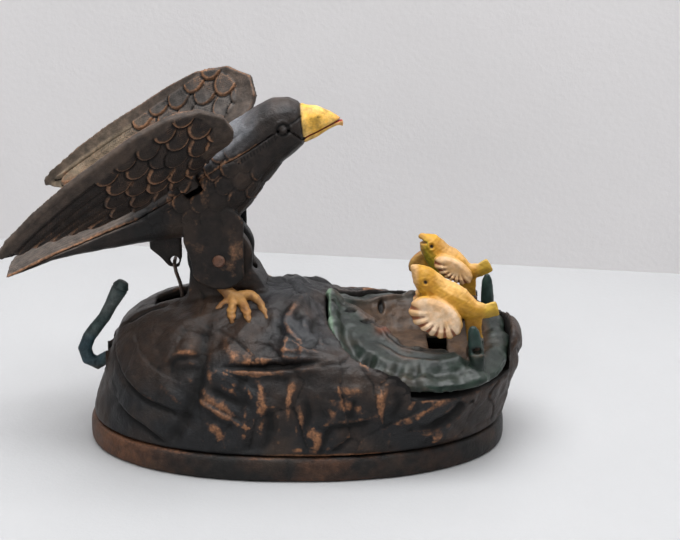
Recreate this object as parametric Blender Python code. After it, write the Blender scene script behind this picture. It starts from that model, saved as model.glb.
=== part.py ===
"""Cast iron mechanical bank: an eagle leans over a nest to feed its two eaglets.

Lengths are in millimetres. +X is the way the eagle faces, +Z is up, and points are given from
the centre of the oval base on the ground. FRAME_X shifts the whole bank so that its box is
centred on the origin. Each moving piece has its object origin on its own joint axis.
"""

import math

import bmesh
import bpy
from mathutils import Matrix, Vector

MM = 0.001
FRAME_X = 13.0
GAP = 0.3
MERGE = 0.002

# Base plate: an upturned oval tray that the rock stands on
BASE_A, BASE_B, OVAL_POWER = 85.7, 51.0, 2.2
BASE_HEIGHT, PLATE_THICK, SKIRT_WALL = 10.0, 3.8, 4.5
BASE_TAPER = 1.3

# Rock: a hollow iron shell, open below, with a pedestal for the eagle
ROCK_INSET, ROCK_WALL = 1.5, 3.0
ROCK_FOOT = BASE_HEIGHT + GAP
RIDGE = [(-86, 46), (-72, 54), (-60, 57), (-50, 60.5), (-42, 63.5), (-5, 65.5), (2, 64), (9, 60),
         (20, 53), (92, 49)]
CROWN_LEFT, CROWN_RIGHT = 0.0115, 0.0032
WALL_LEFT, WALL_RIGHT = 14, 28
FLARE, FLARE_START, FLARE_FULL = 0.115, 0.0, 50.0

# Nest: a leafy dish let into a pocket in the rock
NEST_X, NEST_Y, NEST_A, NEST_B, NEST_POWER = 49.5, -4.0, 36.7, 41.0, 2.6
NEST_SEAT, NEST_FLOOR, NEST_WALL, NEST_RIM, NEST_TILT = 34.0, 38.0, 3.2, 46.0, 0.11
LEAF_EDGE = [(13, 5), (21, 2), (30, -5), (36, -14), (42, -21), (50, -25), (60, -26), (66, -31), (92, -36)]
LEAF_PEAK, LEAF_FALL, LEAF_LOW, LEAF_SLOPE, LEAF_DROP = 60.0, 0.42, 47.2, 0.24, 1.8
NEST_DROOP = 1.8
SLOT_X, SLOT_LENGTH, SLOT_WIDTH = 58.0, 30.0, 8.0

# Eagle: two castings that straddle the pedestal and lean on its pivot
PIVOT_X, PIVOT_Z, PIN_R = -30.4, 79.5, 1.7
HUB_R, HUB_HALF, THIGH_WALL, EAGLE_WALL = 13.3, 9.5, 3.6, 2.6
HUB_SPACE = 1.2
WING_AXIS_X, WING_AXIS_Y, WING_AXIS_Z, WING_SLOPE = -41.0, 8.6, 111.0, 30.0
WING_THICK, WING_BARREL, WING_BARREL_R, WING_PIN_R = 2.4, 7.0, 2.3, 1.1
LINK_PIN_X, LINK_PIN_Z = -24.2, 72.2

# Snake lever, its wires and its spring
LEVER_X, LEVER_Z, LEVER_THICK, LEVER_PIN_R = -70.0, 34.0, 3.0, 1.6
TAIL_EYE_X, TAIL_EYE_Z = -49.2, 75.2
ARM_END_X = -46.0
SPRING_X = -62.0
HORN_FORWARD, HORN_UP, HORN_R = 7.0, 8.0, 2.9
WIRE_R = 0.75

# Eaglets on their cross rod
ROD_X, ROD_Z, ROD_R = 72.0, 49.5, 1.5
LUG_IN, LUG_OUT = 25.4, 29.4
# The nest's two upright shoots: place of the foot, lean and height of the tip
NEST_POSTS = [(72.8, -33.4, -2.6, 60.0), (79.4, 17.0, -0.6, 63.6)]
POST_FOOT = 42.0
EAGLET_Y, EAGLET_ARM, EAGLET_TAB, ARM_THICK = 22.0, 22.0, 3.2, 2.4
EAGLET_ARM_Y = EAGLET_Y - EAGLET_TAB / 2 - GAP - ARM_THICK / 2

# Bellows inside the rock
BELLOWS_HINGE_X, BELLOWS_LENGTH, BELLOWS_HALF, BELLOWS_ANGLE = 6.0, 60.0, 13.0, 9.0
BOARD_THICK = 2.0

# Coin trap under the base
TRAP_X, TRAP_HOLE_R, TRAP_R, TRAP_THICK, TRAP_RIVET_X = 38.0, 16.5, 20.0, 2.0, 15.0

SCREW_R, SCREW_HEAD_R, SCREW_HEAD = 1.9, 3.4, 1.8
BASE_SCREWS = [(-58.0, -22.0), (-8.0, 34.0), (36.0, -36.0)]
BOSS_R = 4.6


# ---------------------------------------------------------------- scene and materials


def clear_scene():
    for item in list(bpy.data.objects):
        bpy.data.objects.remove(item, do_unlink=True)


def make_material(name, color, roughness, metallic):
    material = bpy.data.materials.new(name)
    material.use_nodes = True
    shader = material.node_tree.nodes["Principled BSDF"]
    shader.inputs["Base Color"].default_value = (*color, 1)
    shader.inputs["Roughness"].default_value = roughness
    shader.inputs["Metallic"].default_value = metallic
    material.diffuse_color = (*color, 1)
    return material


clear_scene()
frame = bpy.data.objects.new("bank_frame", None)
frame.location = (FRAME_X * MM, 0, 0)
bpy.context.scene.collection.objects.link(frame)

ROCK = make_material("rock_paint", (0.055, 0.046, 0.042), 0.5, 0.3)
PLATE = make_material("base_paint", (0.075, 0.05, 0.04), 0.6, 0.3)
FEATHER = make_material("feather_paint", (0.06, 0.048, 0.04), 0.5, 0.3)
LEAF = make_material("nest_paint", (0.035, 0.065, 0.05), 0.5, 0.1)
SNAKE = make_material("snake_paint", (0.1, 0.17, 0.17), 0.5, 0.1)
CHICK = make_material("eaglet_paint", (0.75, 0.47, 0.08), 0.5, 0.0)
STEEL = make_material("mechanism_steel", (0.16, 0.14, 0.12), 0.5, 0.9)
WOOD = make_material("bellows_wood", (0.32, 0.19, 0.1), 0.7, 0.0)
LEATHER = make_material("bellows_leather", (0.2, 0.1, 0.05), 0.8, 0.0)
BRASS = make_material("whistle_brass", (0.6, 0.42, 0.15), 0.4, 0.9)


# ---------------------------------------------------------------- shape helpers


def put(name, bm, material, origin=(0, 0, 0)):
    """Make an object from a bmesh in millimetres, with its origin at the given point."""
    bmesh.ops.translate(bm, verts=bm.verts, vec=-Vector(origin))
    bmesh.ops.scale(bm, verts=bm.verts, vec=(MM, MM, MM))
    bmesh.ops.recalc_face_normals(bm, faces=bm.faces)
    mesh = bpy.data.meshes.new(name)
    bm.to_mesh(mesh)
    bm.free()
    mesh.shade_smooth()
    mesh.set_sharp_from_angle(angle=math.radians(40))
    thing = bpy.data.objects.new(name, mesh)
    thing.location = Vector(origin) * MM
    thing.parent = frame
    if material:
        mesh.materials.append(material)
    bpy.context.scene.collection.objects.link(thing)
    return thing


def combine(thing, operation, tool):
    """Join a shape to an object, or cut it away, and keep the cleaned result as its mesh."""
    helper = tool if isinstance(tool, bpy.types.Object) else put("helper", tool, None)
    modifier = thing.modifiers.new(operation, "BOOLEAN")
    modifier.operation = operation
    modifier.solver = "EXACT"
    modifier.object = helper
    bpy.context.view_layer.update()
    graph = bpy.context.evaluated_depsgraph_get()
    result = bpy.data.meshes.new_from_object(thing.evaluated_get(graph), depsgraph=graph)
    bm = bmesh.new()
    bm.from_mesh(result)
    bmesh.ops.remove_doubles(bm, verts=bm.verts, dist=MERGE * MM)
    bmesh.ops.dissolve_degenerate(bm, edges=bm.edges, dist=MERGE * MM)
    bmesh.ops.triangulate(bm, faces=[face for face in bm.faces if len(face.verts) > 4])
    bm.to_mesh(result)
    bm.free()
    thing.modifiers.clear()
    thing.data = result
    bpy.data.objects.remove(helper, do_unlink=True)


def join(thing, tool):
    combine(thing, "UNION", tool)


def cut(thing, tool):
    combine(thing, "DIFFERENCE", tool)


def keep(thing, tool):
    combine(thing, "INTERSECT", tool)


def box(low, high):
    bm = bmesh.new()
    size = Vector(high) - Vector(low)
    middle = (Vector(high) + Vector(low)) / 2
    bmesh.ops.create_cube(bm, size=1, matrix=Matrix.Translation(middle) @ Matrix.Diagonal((*size, 1)))
    return bm


def rod(start, end, radius, sides=16, end_radius=None):
    """A cylinder or cone from one point to another."""
    start, end = Vector(start), Vector(end)
    turn = (end - start).to_track_quat("Z", "Y").to_matrix().to_4x4()
    bm = bmesh.new()
    bmesh.ops.create_cone(
        bm, cap_ends=True, segments=sides, radius1=radius, depth=(end - start).length,
        radius2=radius if end_radius is None else end_radius,
        matrix=Matrix.Translation((start + end) / 2) @ turn,
    )
    return bm


def prism(outline, low_y, high_y):
    """Extrude a side-view outline of (x, z) points across the bank."""
    bm = bmesh.new()
    face = bm.faces.new([bm.verts.new((x, low_y, z)) for x, z in outline])
    grown = bmesh.ops.extrude_face_region(bm, geom=[face])["geom"]
    moved = [v for v in grown if isinstance(v, bmesh.types.BMVert)]
    bmesh.ops.translate(bm, verts=moved, vec=(0, high_y - low_y, 0))
    return bm


def loft(rings):
    """Skin closed rings of equal length, with a flat cap on each end."""
    bm = bmesh.new()
    rows = [[bm.verts.new(point) for point in ring] for ring in rings]
    for first, second in zip(rows[:-1], rows[1:]):
        for i in range(len(first)):
            j = (i + 1) % len(first)
            bm.faces.new((first[i], first[j], second[j], second[i]))
    bm.faces.new(list(reversed(rows[0])))
    bm.faces.new(rows[-1])
    return bm


def circle_points(x, z, radius, start, end, steps):
    """Points of an arc in side view, from one angle to another in degrees."""
    angles = [math.radians(start + (end - start) * i / steps) for i in range(steps + 1)]
    return [(x + radius * math.cos(a), z + radius * math.sin(a)) for a in angles]


def superellipse(angle, a, b, power):
    c, s = math.cos(angle), math.sin(angle)
    reach = (abs(c) ** power + abs(s) ** power) ** (-1 / power)
    return a * c * reach, b * s * reach


def oval(a, b, power, z, count, x=0.0, y=0.0):
    turns = [2 * math.pi * i / count for i in range(count)]
    return [(x + p[0], y + p[1], z) for p in (superellipse(t, a, b, power) for t in turns)]


def along(table, x):
    """Read a height from a list of (x, height) points, straight between them."""
    if x <= table[0][0]:
        return table[0][1]
    for (x0, h0), (x1, h1) in zip(table[:-1], table[1:]):
        if x <= x1:
            return h0 + (h1 - h0) * (x - x0) / (x1 - x0)
    return table[-1][1]


def wire(name, points, radius, material, origin=(0, 0, 0)):
    """A bent wire: a poly curve with a round bevel and filled ends."""
    curve = bpy.data.curves.new(name, "CURVE")
    curve.dimensions = "3D"
    curve.bevel_depth = radius * MM
    curve.bevel_resolution = 2
    curve.use_fill_caps = True
    spline = curve.splines.new("POLY")
    spline.points.add(len(points) - 1)
    for place, point in zip(spline.points, points):
        place.co = (*((Vector(point) - Vector(origin)) * MM), 1)
    curve.materials.append(material)
    thing = bpy.data.objects.new(name, curve)
    thing.location = Vector(origin) * MM
    thing.parent = frame
    bpy.context.scene.collection.objects.link(thing)
    return thing


# ---------------------------------------------------------------- base


def make_base():
    skirt_a, skirt_b = BASE_A - SKIRT_WALL, BASE_B - SKIRT_WALL
    under = BASE_HEIGHT - PLATE_THICK
    profile = [
        (BASE_A, BASE_B, 1.0), (BASE_A, BASE_B, BASE_HEIGHT - 2.2),
        (BASE_A - BASE_TAPER, BASE_B - BASE_TAPER, BASE_HEIGHT),
    ]
    foot = [(BASE_A - 0.8, BASE_B - 0.8, 0.0)]
    rings = [oval(skirt_a, skirt_b, OVAL_POWER, under, 56), oval(skirt_a, skirt_b, OVAL_POWER, 0, 56)]
    rings += [oval(a, b, OVAL_POWER, z, 56) for a, b, z in foot + profile]
    base = put("base_plate", loft(rings), PLATE)
    cut(base, rod((TRAP_X, 0, under - 1), (TRAP_X, 0, BASE_HEIGHT + 1), TRAP_HOLE_R, 32))
    for x, y in BASE_SCREWS:
        cut(base, rod((x, y, under - 1), (x, y, BASE_HEIGHT + 1), SCREW_R + GAP, 16))
    for x in (TRAP_RIVET_X, TRAP_X + TRAP_R + 5):
        cut(base, rod((x, 0, under - 1), (x, 0, BASE_HEIGHT + 1), 1.5 + GAP, 12))


def make_base_screws():
    under = BASE_HEIGHT - PLATE_THICK
    for number, (x, y) in enumerate(BASE_SCREWS, 1):
        screw = put(f"base_screw_{number}", rod((x, y, under - GAP - SCREW_HEAD), (x, y, under - GAP),
                                                SCREW_HEAD_R, 16), STEEL)
        join(screw, rod((x, y, under - GAP - 1), (x, y, 22), SCREW_R, 12))
        slot = under - GAP - SCREW_HEAD
        cut(screw, box((x - 5, y - 0.5, slot - 1), (x + 5, y + 0.5, slot + 0.8)))


def make_coin_trap():
    under = BASE_HEIGHT - PLATE_THICK - GAP
    low = under - TRAP_THICK
    pivot = (TRAP_RIVET_X, 0, low)
    cover = put("trap_cover", rod((TRAP_X, 0, low), (TRAP_X, 0, under), TRAP_R, 36), PLATE, pivot)
    join(cover, rod((TRAP_RIVET_X, 0, low), (TRAP_RIVET_X, 0, under), 5, 20))
    join(cover, box((TRAP_RIVET_X, -4.5, low), (TRAP_RIVET_X + 8, 4.5, under)))
    cut(cover, rod((TRAP_RIVET_X, 0, low - 1), (TRAP_RIVET_X, 0, under + 1), 1.5 + GAP, 12))
    make_rivet("trap_rivet", TRAP_RIVET_X, low - GAP)

    latch_x = TRAP_X + TRAP_R + 5
    latch_low = low - GAP - 1.4
    latch = put("trap_latch", rod((latch_x, 0, latch_low), (latch_x, 0, low - GAP), 4, 20), STEEL,
                (latch_x, 0, latch_low))
    join(latch, box((latch_x - 10, -3, latch_low), (latch_x, 3, low - GAP)))
    cut(latch, rod((latch_x, 0, latch_low - 1), (latch_x, 0, low + 1), 1.5 + GAP, 12))
    make_rivet("latch_rivet", latch_x, latch_low - GAP)


def make_rivet(name, x, head_top):
    """A rivet through the plate: a low head below, and its upset end above."""
    rivet = put(name, rod((x, 0, head_top - 1.0), (x, 0, head_top), 2.8, 16), STEEL, (x, 0, head_top))
    join(rivet, rod((x, 0, head_top - 0.5), (x, 0, BASE_HEIGHT + 1), 1.5, 12))
    join(rivet, rod((x, 0, BASE_HEIGHT + GAP), (x, 0, BASE_HEIGHT + 1.5), 2.6, 16))


# ---------------------------------------------------------------- rock


def rock_height(x, y):
    """The height of the rock's back, before its wall falls away to the base."""
    share = min(max((x + 5) / 22, 0), 1)
    crown = CROWN_LEFT + (CROWN_RIGHT - CROWN_LEFT) * share
    return along(RIDGE, x) - crown * y * y


def wall_fall(x, reach):
    """The share of the rock's height that is left near its rim; the right end is steeper."""
    share = min(max(x / 40, 0), 1)
    return 1 - reach ** (WALL_LEFT + (WALL_RIGHT - WALL_LEFT) * share)


def rock_skin(x, y):
    """Height of the rock's outer face, left of its flare."""
    a, b = BASE_A - ROCK_INSET, BASE_B - ROCK_INSET
    reach = ((abs(x) / a) ** OVAL_POWER + (abs(y) / b) ** OVAL_POWER) ** (1 / OVAL_POWER)
    return ROCK_FOOT + (rock_height(x, y) - ROCK_FOOT) * wall_fall(x, reach)


def rock_surface(inset, lower, count, reaches):
    """Rings of the rock's skin from its foot to its back, set in by a wall thickness."""
    a, b = BASE_A - ROCK_INSET - inset, BASE_B - ROCK_INSET - inset
    foot = ROCK_FOOT - (1 if inset else 0)
    rings = [oval(a, b, OVAL_POWER, foot, count)]
    for reach in reaches:
        ring = []
        for x, y, _ in oval(a * reach, b * reach, OVAL_POWER, 0, count):
            z = ROCK_FOOT + (rock_height(x, y) - lower - ROCK_FOOT) * wall_fall(x, reach)
            share = min(max((x - FLARE_START) / (FLARE_FULL - FLARE_START), 0), 1)
            spread = 1 + FLARE * share * share * (3 - 2 * share) * (z - ROCK_FOOT) / 26
            ring.append((x * spread, y * spread, z))
        rings.append(ring)
    return loft(rings)


def nest_oval(grow, z, count=40):
    return oval(NEST_A + grow, NEST_B + grow, NEST_POWER, z, count, NEST_X, NEST_Y)


def pedestal_outline():
    """Side view of the pedestal: a foot on the rock and a round head about the eagle's pivot."""
    head = circle_points(PIVOT_X, PIVOT_Z, HUB_R, -18, 205, 18)
    return [(-44.0, 57), (-10.0, 57), (-11.5, 65), (-14.9, 72)] + head + [(-43.3, 66)]


def make_rock():
    wall_steps = [0.995, 0.985, 0.97, 0.95, 0.925, 0.895, 0.85, 0.78, 0.66, 0.5, 0.33, 0.16, 0.04]
    inner_steps = [0.985, 0.95, 0.9, 0.82, 0.66, 0.45, 0.22, 0.05]
    rock = put("rock_casting", rock_surface(0, 0, 60, wall_steps), ROCK)
    cut(rock, loft([nest_oval(0.7, NEST_SEAT), nest_oval(0.7, 90)]))
    hollow = put("hollow", rock_surface(ROCK_WALL, ROCK_WALL, 48, inner_steps), None)
    cut(hollow, loft([nest_oval(0.7 + ROCK_WALL, NEST_SEAT - ROCK_WALL), nest_oval(0.7 + ROCK_WALL, 90)]))
    cut(rock, hollow)
    join(rock, prism(pedestal_outline(), -HUB_HALF, HUB_HALF))
    for x, y in BASE_SCREWS:
        rim = [rock_skin(x + BOSS_R * math.cos(t), y + BOSS_R * math.sin(t)) for t in range(7)]
        top = NEST_SEAT - 1 if x > 12 else min(rim) - 1
        join(rock, rod((x, y, ROCK_FOOT), (x, y, top), BOSS_R, 20))
        cut(rock, rod((x, y, ROCK_FOOT - 1), (x, y, 23), SCREW_R + GAP, 12))
    for side in (-1, 1):
        near, far = sorted((side * (LEVER_THICK / 2 + 1), side * (LEVER_THICK / 2 + 4)))
        lug = circle_points(LEVER_X, LEVER_Z, 4, 90, -90, 8)
        join(rock, prism([(-79.8, LEVER_Z - 4), (-79.8, LEVER_Z + 4)] + lug, near, far))
    cut(rock, rod((LEVER_X, -8, LEVER_Z), (LEVER_X, 8, LEVER_Z), LEVER_PIN_R + GAP, 16))
    cut(rock, box((-92, -3.6, 17), (LEVER_X - 3.5, 3.6, 43)))
    cut(rock, box((-57, -5, 50), (ARM_END_X + 1.6, 5, 70)))
    cut(rock, box((-71.0, -2.4, 40), (-65, 2.4, 47.4)))
    cut(rock, box((SLOT_X - SLOT_WIDTH / 2 - 3, -SLOT_LENGTH / 2 - 3, 25),
                  (SLOT_X + SLOT_WIDTH / 2 + 3, SLOT_LENGTH / 2 + 3, 36)))
    cut(rock, box((ROD_X - 9, EAGLET_ARM_Y - 3, 25), (ROD_X + 5, EAGLET_ARM_Y + 3, 36)))
    cut(rock, rod((PIVOT_X, -20, PIVOT_Z), (PIVOT_X, 20, PIVOT_Z), PIN_R + GAP, 16))
    cut(rock, rod((LINK_PIN_X, -20, LINK_PIN_Z), (LINK_PIN_X, 20, LINK_PIN_Z), 1.2 + GAP, 12))
    cut(rock, box((-39, -3, 66), (-16, 3, 95)))


# ---------------------------------------------------------------- nest


def leaf_top(x, y):
    """Height of the broad leaf that slopes from the bowl's front left edge down to the rim."""
    edge_y = along(LEAF_EDGE, x)
    crest = max(LEAF_PEAK - LEAF_FALL * (x - LEAF_EDGE[0][0]), LEAF_LOW)
    if y < edge_y:
        return crest - LEAF_SLOPE * (edge_y - y)
    return crest - LEAF_DROP * (y - edge_y)


def nest_top(x, y, reach):
    """Height of the nest's upper face: a floor, a bowl wall, a leafy rim and a drooping edge."""
    return max(nest_profile(x, y, reach), leaf_top(x, y) if reach < 0.84 else 0)


def nest_profile(x, y, reach):
    rise = 17 * math.exp(-(((x - 12) / 9) ** 2)) * math.exp(-(((y + 3) / 34) ** 2))
    crest = NEST_RIM + NEST_TILT * (y - NEST_Y) - 0.7 + rise
    if reach <= 0.5:
        return NEST_FLOOR
    if reach <= 0.84:
        share = (reach - 0.5) / 0.34
        return NEST_FLOOR + (crest - NEST_FLOOR) * (0.5 - 0.5 * math.cos(math.pi * share))
    return crest - NEST_DROOP * ((reach - 0.84) / 0.16) ** 2


def make_nest():
    count = 56
    reaches = [0.2, 0.34, 0.42, 0.5, 0.58, 0.66, 0.75, 0.84, 0.93, 1.0]

    def ring(reach, offset):
        points = []
        for x, y, _ in oval(NEST_A * reach, NEST_B * reach, NEST_POWER, 0, count, NEST_X, NEST_Y):
            top = nest_top(x, y, reach)
            low = max(top - NEST_WALL - (0.6 if 0.5 < reach < 0.8 else 0), NEST_SEAT + GAP)
            points.append((x, y, low if offset else top))
        return points

    rings = [ring(reach, True) for reach in reaches] + [ring(reach, False) for reach in reversed(reaches)]
    nest = put("nest_casting", loft(rings), LEAF)
    cut(nest, box((SLOT_X - SLOT_WIDTH / 2, -SLOT_LENGTH / 2, 30),
                  (SLOT_X + SLOT_WIDTH / 2, SLOT_LENGTH / 2, 60)))
    cut(nest, box((ROD_X - 7, EAGLET_ARM_Y - 2.2, 30), (ROD_X + 3.4, EAGLET_ARM_Y + 2.2, 60)))
    for y in (-EAGLET_Y, EAGLET_Y):
        cut(nest, box((ROD_X - 6, y - 2.4, ROD_Z - 4.4), (ROD_X + 5, y + 2.4, 60)))
    turns = [2 * math.pi * i / 12 for i in range(12)]
    for x, y, lean, top in NEST_POSTS:
        post = [
            [(x + lean * s + r * math.cos(t), y + r * 0.8 * math.sin(t),
              POST_FOOT + (top - POST_FOOT) * s) for t in turns]
            for s, r in ((0, 2.9), (0.55, 3.0), (0.87, 2.4), (1, 1.1))
        ]
        join(nest, loft(post))
    join(nest, box((ROD_X - 3.2, -LUG_OUT, 42), (ROD_X + 3.2, -LUG_IN, ROD_Z + 2.9)))
    join(nest, box((ROD_X - 3.2, LUG_IN, 43), (ROD_X + 3.2, LUG_OUT, ROD_Z + 2.9)))
    cut(nest, rod((ROD_X, -40, ROD_Z), (ROD_X, 40, ROD_Z), ROD_R + GAP, 12))


# ---------------------------------------------------------------- eagle

# Body sections from tail to face: the back's point and the belly's point in side view, and the half width
BODY_SECTIONS = [
    ((-116.6, 73.0), (-115.6, 70.2), 12.2),
    ((-98.0, 83.4), (-96.6, 77.6), 12.8),
    ((-78.0, 92.8), (-76.0, 81.6), 12.6),
    ((-62.0, 101.0), (-58.0, 84.4), 13.2),
    ((-52.0, 109.5), (-45.0, 86.0), 14.0),
    ((-43.0, 118.5), (-33.0, 89.0), 14.6),
    ((-35.0, 126.0), (-24.0, 93.5), 14.6),
    ((-28.0, 131.0), (-17.6, 100.0), 13.8),
    ((-21.6, 135.4), (-11.6, 109.6), 12.0),
    ((-15.6, 139.6), (-4.0, 117.8), 10.4),
    ((-9.4, 142.8), (1.4, 122.6), 9.8),
    ((-2.6, 143.2), (4.2, 125.0), 8.6),
    ((4.0, 140.4), (5.2, 126.0), 5.8),
]
BEAK_SECTIONS = [
    ((2.6, 140.6), (2.6, 124.2), 5.6),
    ((8.5, 140.2), (8.5, 127.0), 4.6),
    ((14.0, 137.8), (13.4, 130.4), 3.2),
    ((17.8, 135.4), (17.2, 132.2), 1.8),
    ((19.4, 133.6), (19.0, 131.4), 0.7),
]


def body_ring(back, belly, half, inset=0.0, count=20):
    middle = (Vector((back[0], 0, back[1])) + Vector((belly[0], 0, belly[1]))) / 2
    up = Vector((back[0] - belly[0], 0, back[1] - belly[1]))
    tall, up = up.length / 2 - inset, up.normalized()
    ring = []
    for i in range(count):
        side, rise = superellipse(2 * math.pi * i / count, half - inset, tall, 2.25)
        ring.append(tuple(middle + up * rise + Vector((0, side, 0))))
    return ring


def seam_outline(drop):
    """Side view of the space above the seam between the eagle's two castings."""
    seam = [
        (-122, 69.0), (-113, 72.4), (-96, 81.2), (-63, 95.6), (-47, 105.5), (-37, 113.0), (-27.5, 119.5),
        (-18, 124.5), (-8, 131.0), (-4, 133.2), (0, 130.6), (3, 127.6), (9, 130.2), (16.5, 134.0),
        (24, 137.0),
    ]
    return [(x, z - drop) for x, z in seam] + [(24, 170), (-122, 170)]


def thigh_outline():
    foot = circle_points(PIVOT_X, PIVOT_Z, 12.4, 212, 324, 10)
    return [(-42.5, 100), (-44.5, 88), (-41.6, 79)] + foot + [(-20.6, 80), (-20.4, 96), (-24, 101)]


def make_eagle_shell(name, material):
    """The whole hollow bird, which each of the two castings is cut from."""
    shell = put(name, loft([body_ring(*s) for s in BODY_SECTIONS]), material, (PIVOT_X, 0, PIVOT_Z))
    join(shell, loft([body_ring(*s, count=12) for s in BEAK_SECTIONS]))
    cut(shell, loft([body_ring(*s, inset=EAGLE_WALL, count=16) for s in BODY_SECTIONS[4:-1]]))
    return shell


def wing_point(side, forward, out=0.0, up=0.0):
    """A point by a wing hinge: along its axis, out from the bird and up from the axis."""
    slope = math.radians(WING_SLOPE)
    x = WING_AXIS_X + forward * math.cos(slope) - up * math.sin(slope)
    z = WING_AXIS_Z + forward * math.sin(slope) + up * math.cos(slope)
    return Vector((x, side * (WING_AXIS_Y + out), z))


def slanted_box(side, forward, out, up):
    """A box in a wing hinge's own directions, from (low, high) along each."""
    corners = [wing_point(side, f, o, u) for f in forward for o in out for u in up]
    bm = bmesh.new()
    bmesh.ops.convex_hull(bm, input=[bm.verts.new(c) for c in corners])
    return bm


def make_eagle():
    body = make_eagle_shell("eagle_body", FEATHER)
    hub_gap = HUB_HALF + GAP + 0.3
    for side in (-1, 1):
        low, high = sorted((side * hub_gap, side * (hub_gap + THIGH_WALL)))
        join(body, prism(thigh_outline(), low, high))
    join(body, prism([(-66, 86), (-55, 76.5), (-51.5, 72.6), (-47.5, 72.2), (-46.2, 77), (-46.2, 90),
                      (-58, 92)], -1.4, 1.4))
    cut(body, rod((PIVOT_X, -hub_gap, PIVOT_Z), (PIVOT_X, hub_gap, PIVOT_Z), HUB_R + HUB_SPACE, 36))
    cut(body, box((-45.4, -hub_gap, 55), (0, hub_gap, PIVOT_Z)))
    cut(body, rod((TAIL_EYE_X, -5, TAIL_EYE_Z), (TAIL_EYE_X, 5, TAIL_EYE_Z), 1.9, 12))
    cut(body, rod((PIVOT_X, -20, PIVOT_Z), (PIVOT_X, 20, PIVOT_Z), PIN_R + GAP, 16))
    cut(body, rod((-62, 0, 60), (-62, 0, 86.5), 2.9, 12))
    cut(body, rod((-62, 0, 80), (-62, 0, 110), 1.3 + GAP, 12))
    cut_wing_slots(body)
    cut(body, prism(seam_outline(GAP / 2), -40, 40))

    back = make_eagle_shell("eagle_back", FEATHER)
    for side in (-1, 1):
        for forward, reach in (((-7.5, -3.7), 3.4), ((3.7, 7.5), 6.6)):
            join(back, slanted_box(side, forward, (-3.2, 3.3), (-3.2, reach)))
        start, end = wing_point(side, -8.5), wing_point(side, 8.5)
        cut(back, rod(start, end, WING_PIN_R + GAP, 12))
    cut(back, rod((-62, 0, 80), (-62, 0, 99.2), 1.3 + GAP, 12))
    cut_wing_slots(back)
    keep(back, prism(seam_outline(-GAP / 2), -40, 40))


def cut_wing_slots(casting):
    """Windows in the bird's sides, where the wings' arms go in to their hinges."""
    for side in (-1, 1):
        cut(casting, slanted_box(side, (-4.1, 4.1), (-3.5, 12), (-4.4, 7.8)))


def make_eagle_pins():
    half = HUB_HALF + GAP * 2 + THIGH_WALL + 0.3
    pin = put("eagle_pivot_pin", rod((PIVOT_X, -half, PIVOT_Z), (PIVOT_X, half, PIVOT_Z), PIN_R, 16),
              STEEL, (PIVOT_X, 0, PIVOT_Z))
    for side in (-1, 1):
        join(pin, rod((PIVOT_X, side * (half - 0.2), PIVOT_Z), (PIVOT_X, side * (half + 0.9), PIVOT_Z),
                      2.6, 16, 1.9))

    pin = put("wing_link_pin", rod((LINK_PIN_X, -9.9, LINK_PIN_Z), (LINK_PIN_X, 9.9, LINK_PIN_Z), 1.2,
                                   12), STEEL)

    screw = put("eagle_screw", rod((-62, 0, 84.4), (-62, 0, 86.2), 2.6, 16), STEEL, (PIVOT_X, 0, PIVOT_Z))
    join(screw, rod((-62, 0, 85), (-62, 0, 98.6), 1.3, 12))
    cut(screw, box((-66, -0.4, 83), (-58, 0.4, 85.1)))


# Wing stations from the shoulder to the tip: the lower edge, then the upper edge
WING_STATIONS = [
    ((-25.4, 19.0, 130.6), (-23.2, 23.5, 136.6)),
    ((-31.4, 13.6, 124.6), (-26.4, 28.5, 143.0)),
    ((-36.8, 13.4, 119.0), (-35.5, 32.0, 146.4)),
    ((-46.0, 15.4, 112.6), (-47.6, 35.0, 144.0)),
    ((-58.0, 15.8, 105.0), (-60.0, 38.0, 137.6)),
    ((-70.0, 15.8, 98.8), (-72.6, 41.0, 128.8)),
    ((-82.0, 17.6, 94.8), (-85.4, 43.2, 119.6)),
    ((-95.0, 30.0, 94.2), (-98.0, 45.2, 109.0)),
    ((-107.6, 44.0, 92.4), (-108.6, 47.2, 98.8)),
    ((-111.2, 47.4, 92.6), (-111.4, 47.8, 95.0)),
]
# The far wing sits further forward on its hinge than the near one: how far, from its shoulder to its tip
FAR_WING_FORWARD = [6.5, 7.5, 7.5, 6.5, 7.0, 7.5, 6.5, 5.5, 3.4, 3.0]
FAR_WING_RAISE = [1.6, 1.6, 1.2, 0.6, 0.0, 0.0, 0.0, 0.0, -0.6, -0.7]
WING_BULGE = 2.6
WING_COLUMNS = 6


def wing_rows(side):
    """The wing's two faces as rows of points, bowed outward between its edges."""
    rows = []
    for (low, high), forward, up in zip(WING_STATIONS, FAR_WING_FORWARD, FAR_WING_RAISE):
        low, high = Vector(low), Vector(high)
        if side > 0:
            low, high = low + Vector((forward, 1.2, up)), high + Vector((forward, 0, up))
        across = (high - low).normalized()
        normal = across.cross(Vector((-0.866, 0.15, -0.5))).normalized()
        if normal.y > 0:
            normal = -normal
        bow = WING_BULGE * min((high - low).length / 30, 1)
        row = []
        for i in range(WING_COLUMNS + 1):
            share = i / WING_COLUMNS
            point = low.lerp(high, share) - normal * bow * math.sin(math.pi * share)
            row.append((point, normal))
        rows.append(row)
    faces = []
    for offset in (-WING_THICK / 2, WING_THICK / 2):
        faces.append([[Vector((p.x + n.x * offset, side * (p.y + n.y * offset),
                               p.z + n.z * offset)) for p, n in row]
                      for row in rows])
    return faces


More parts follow.
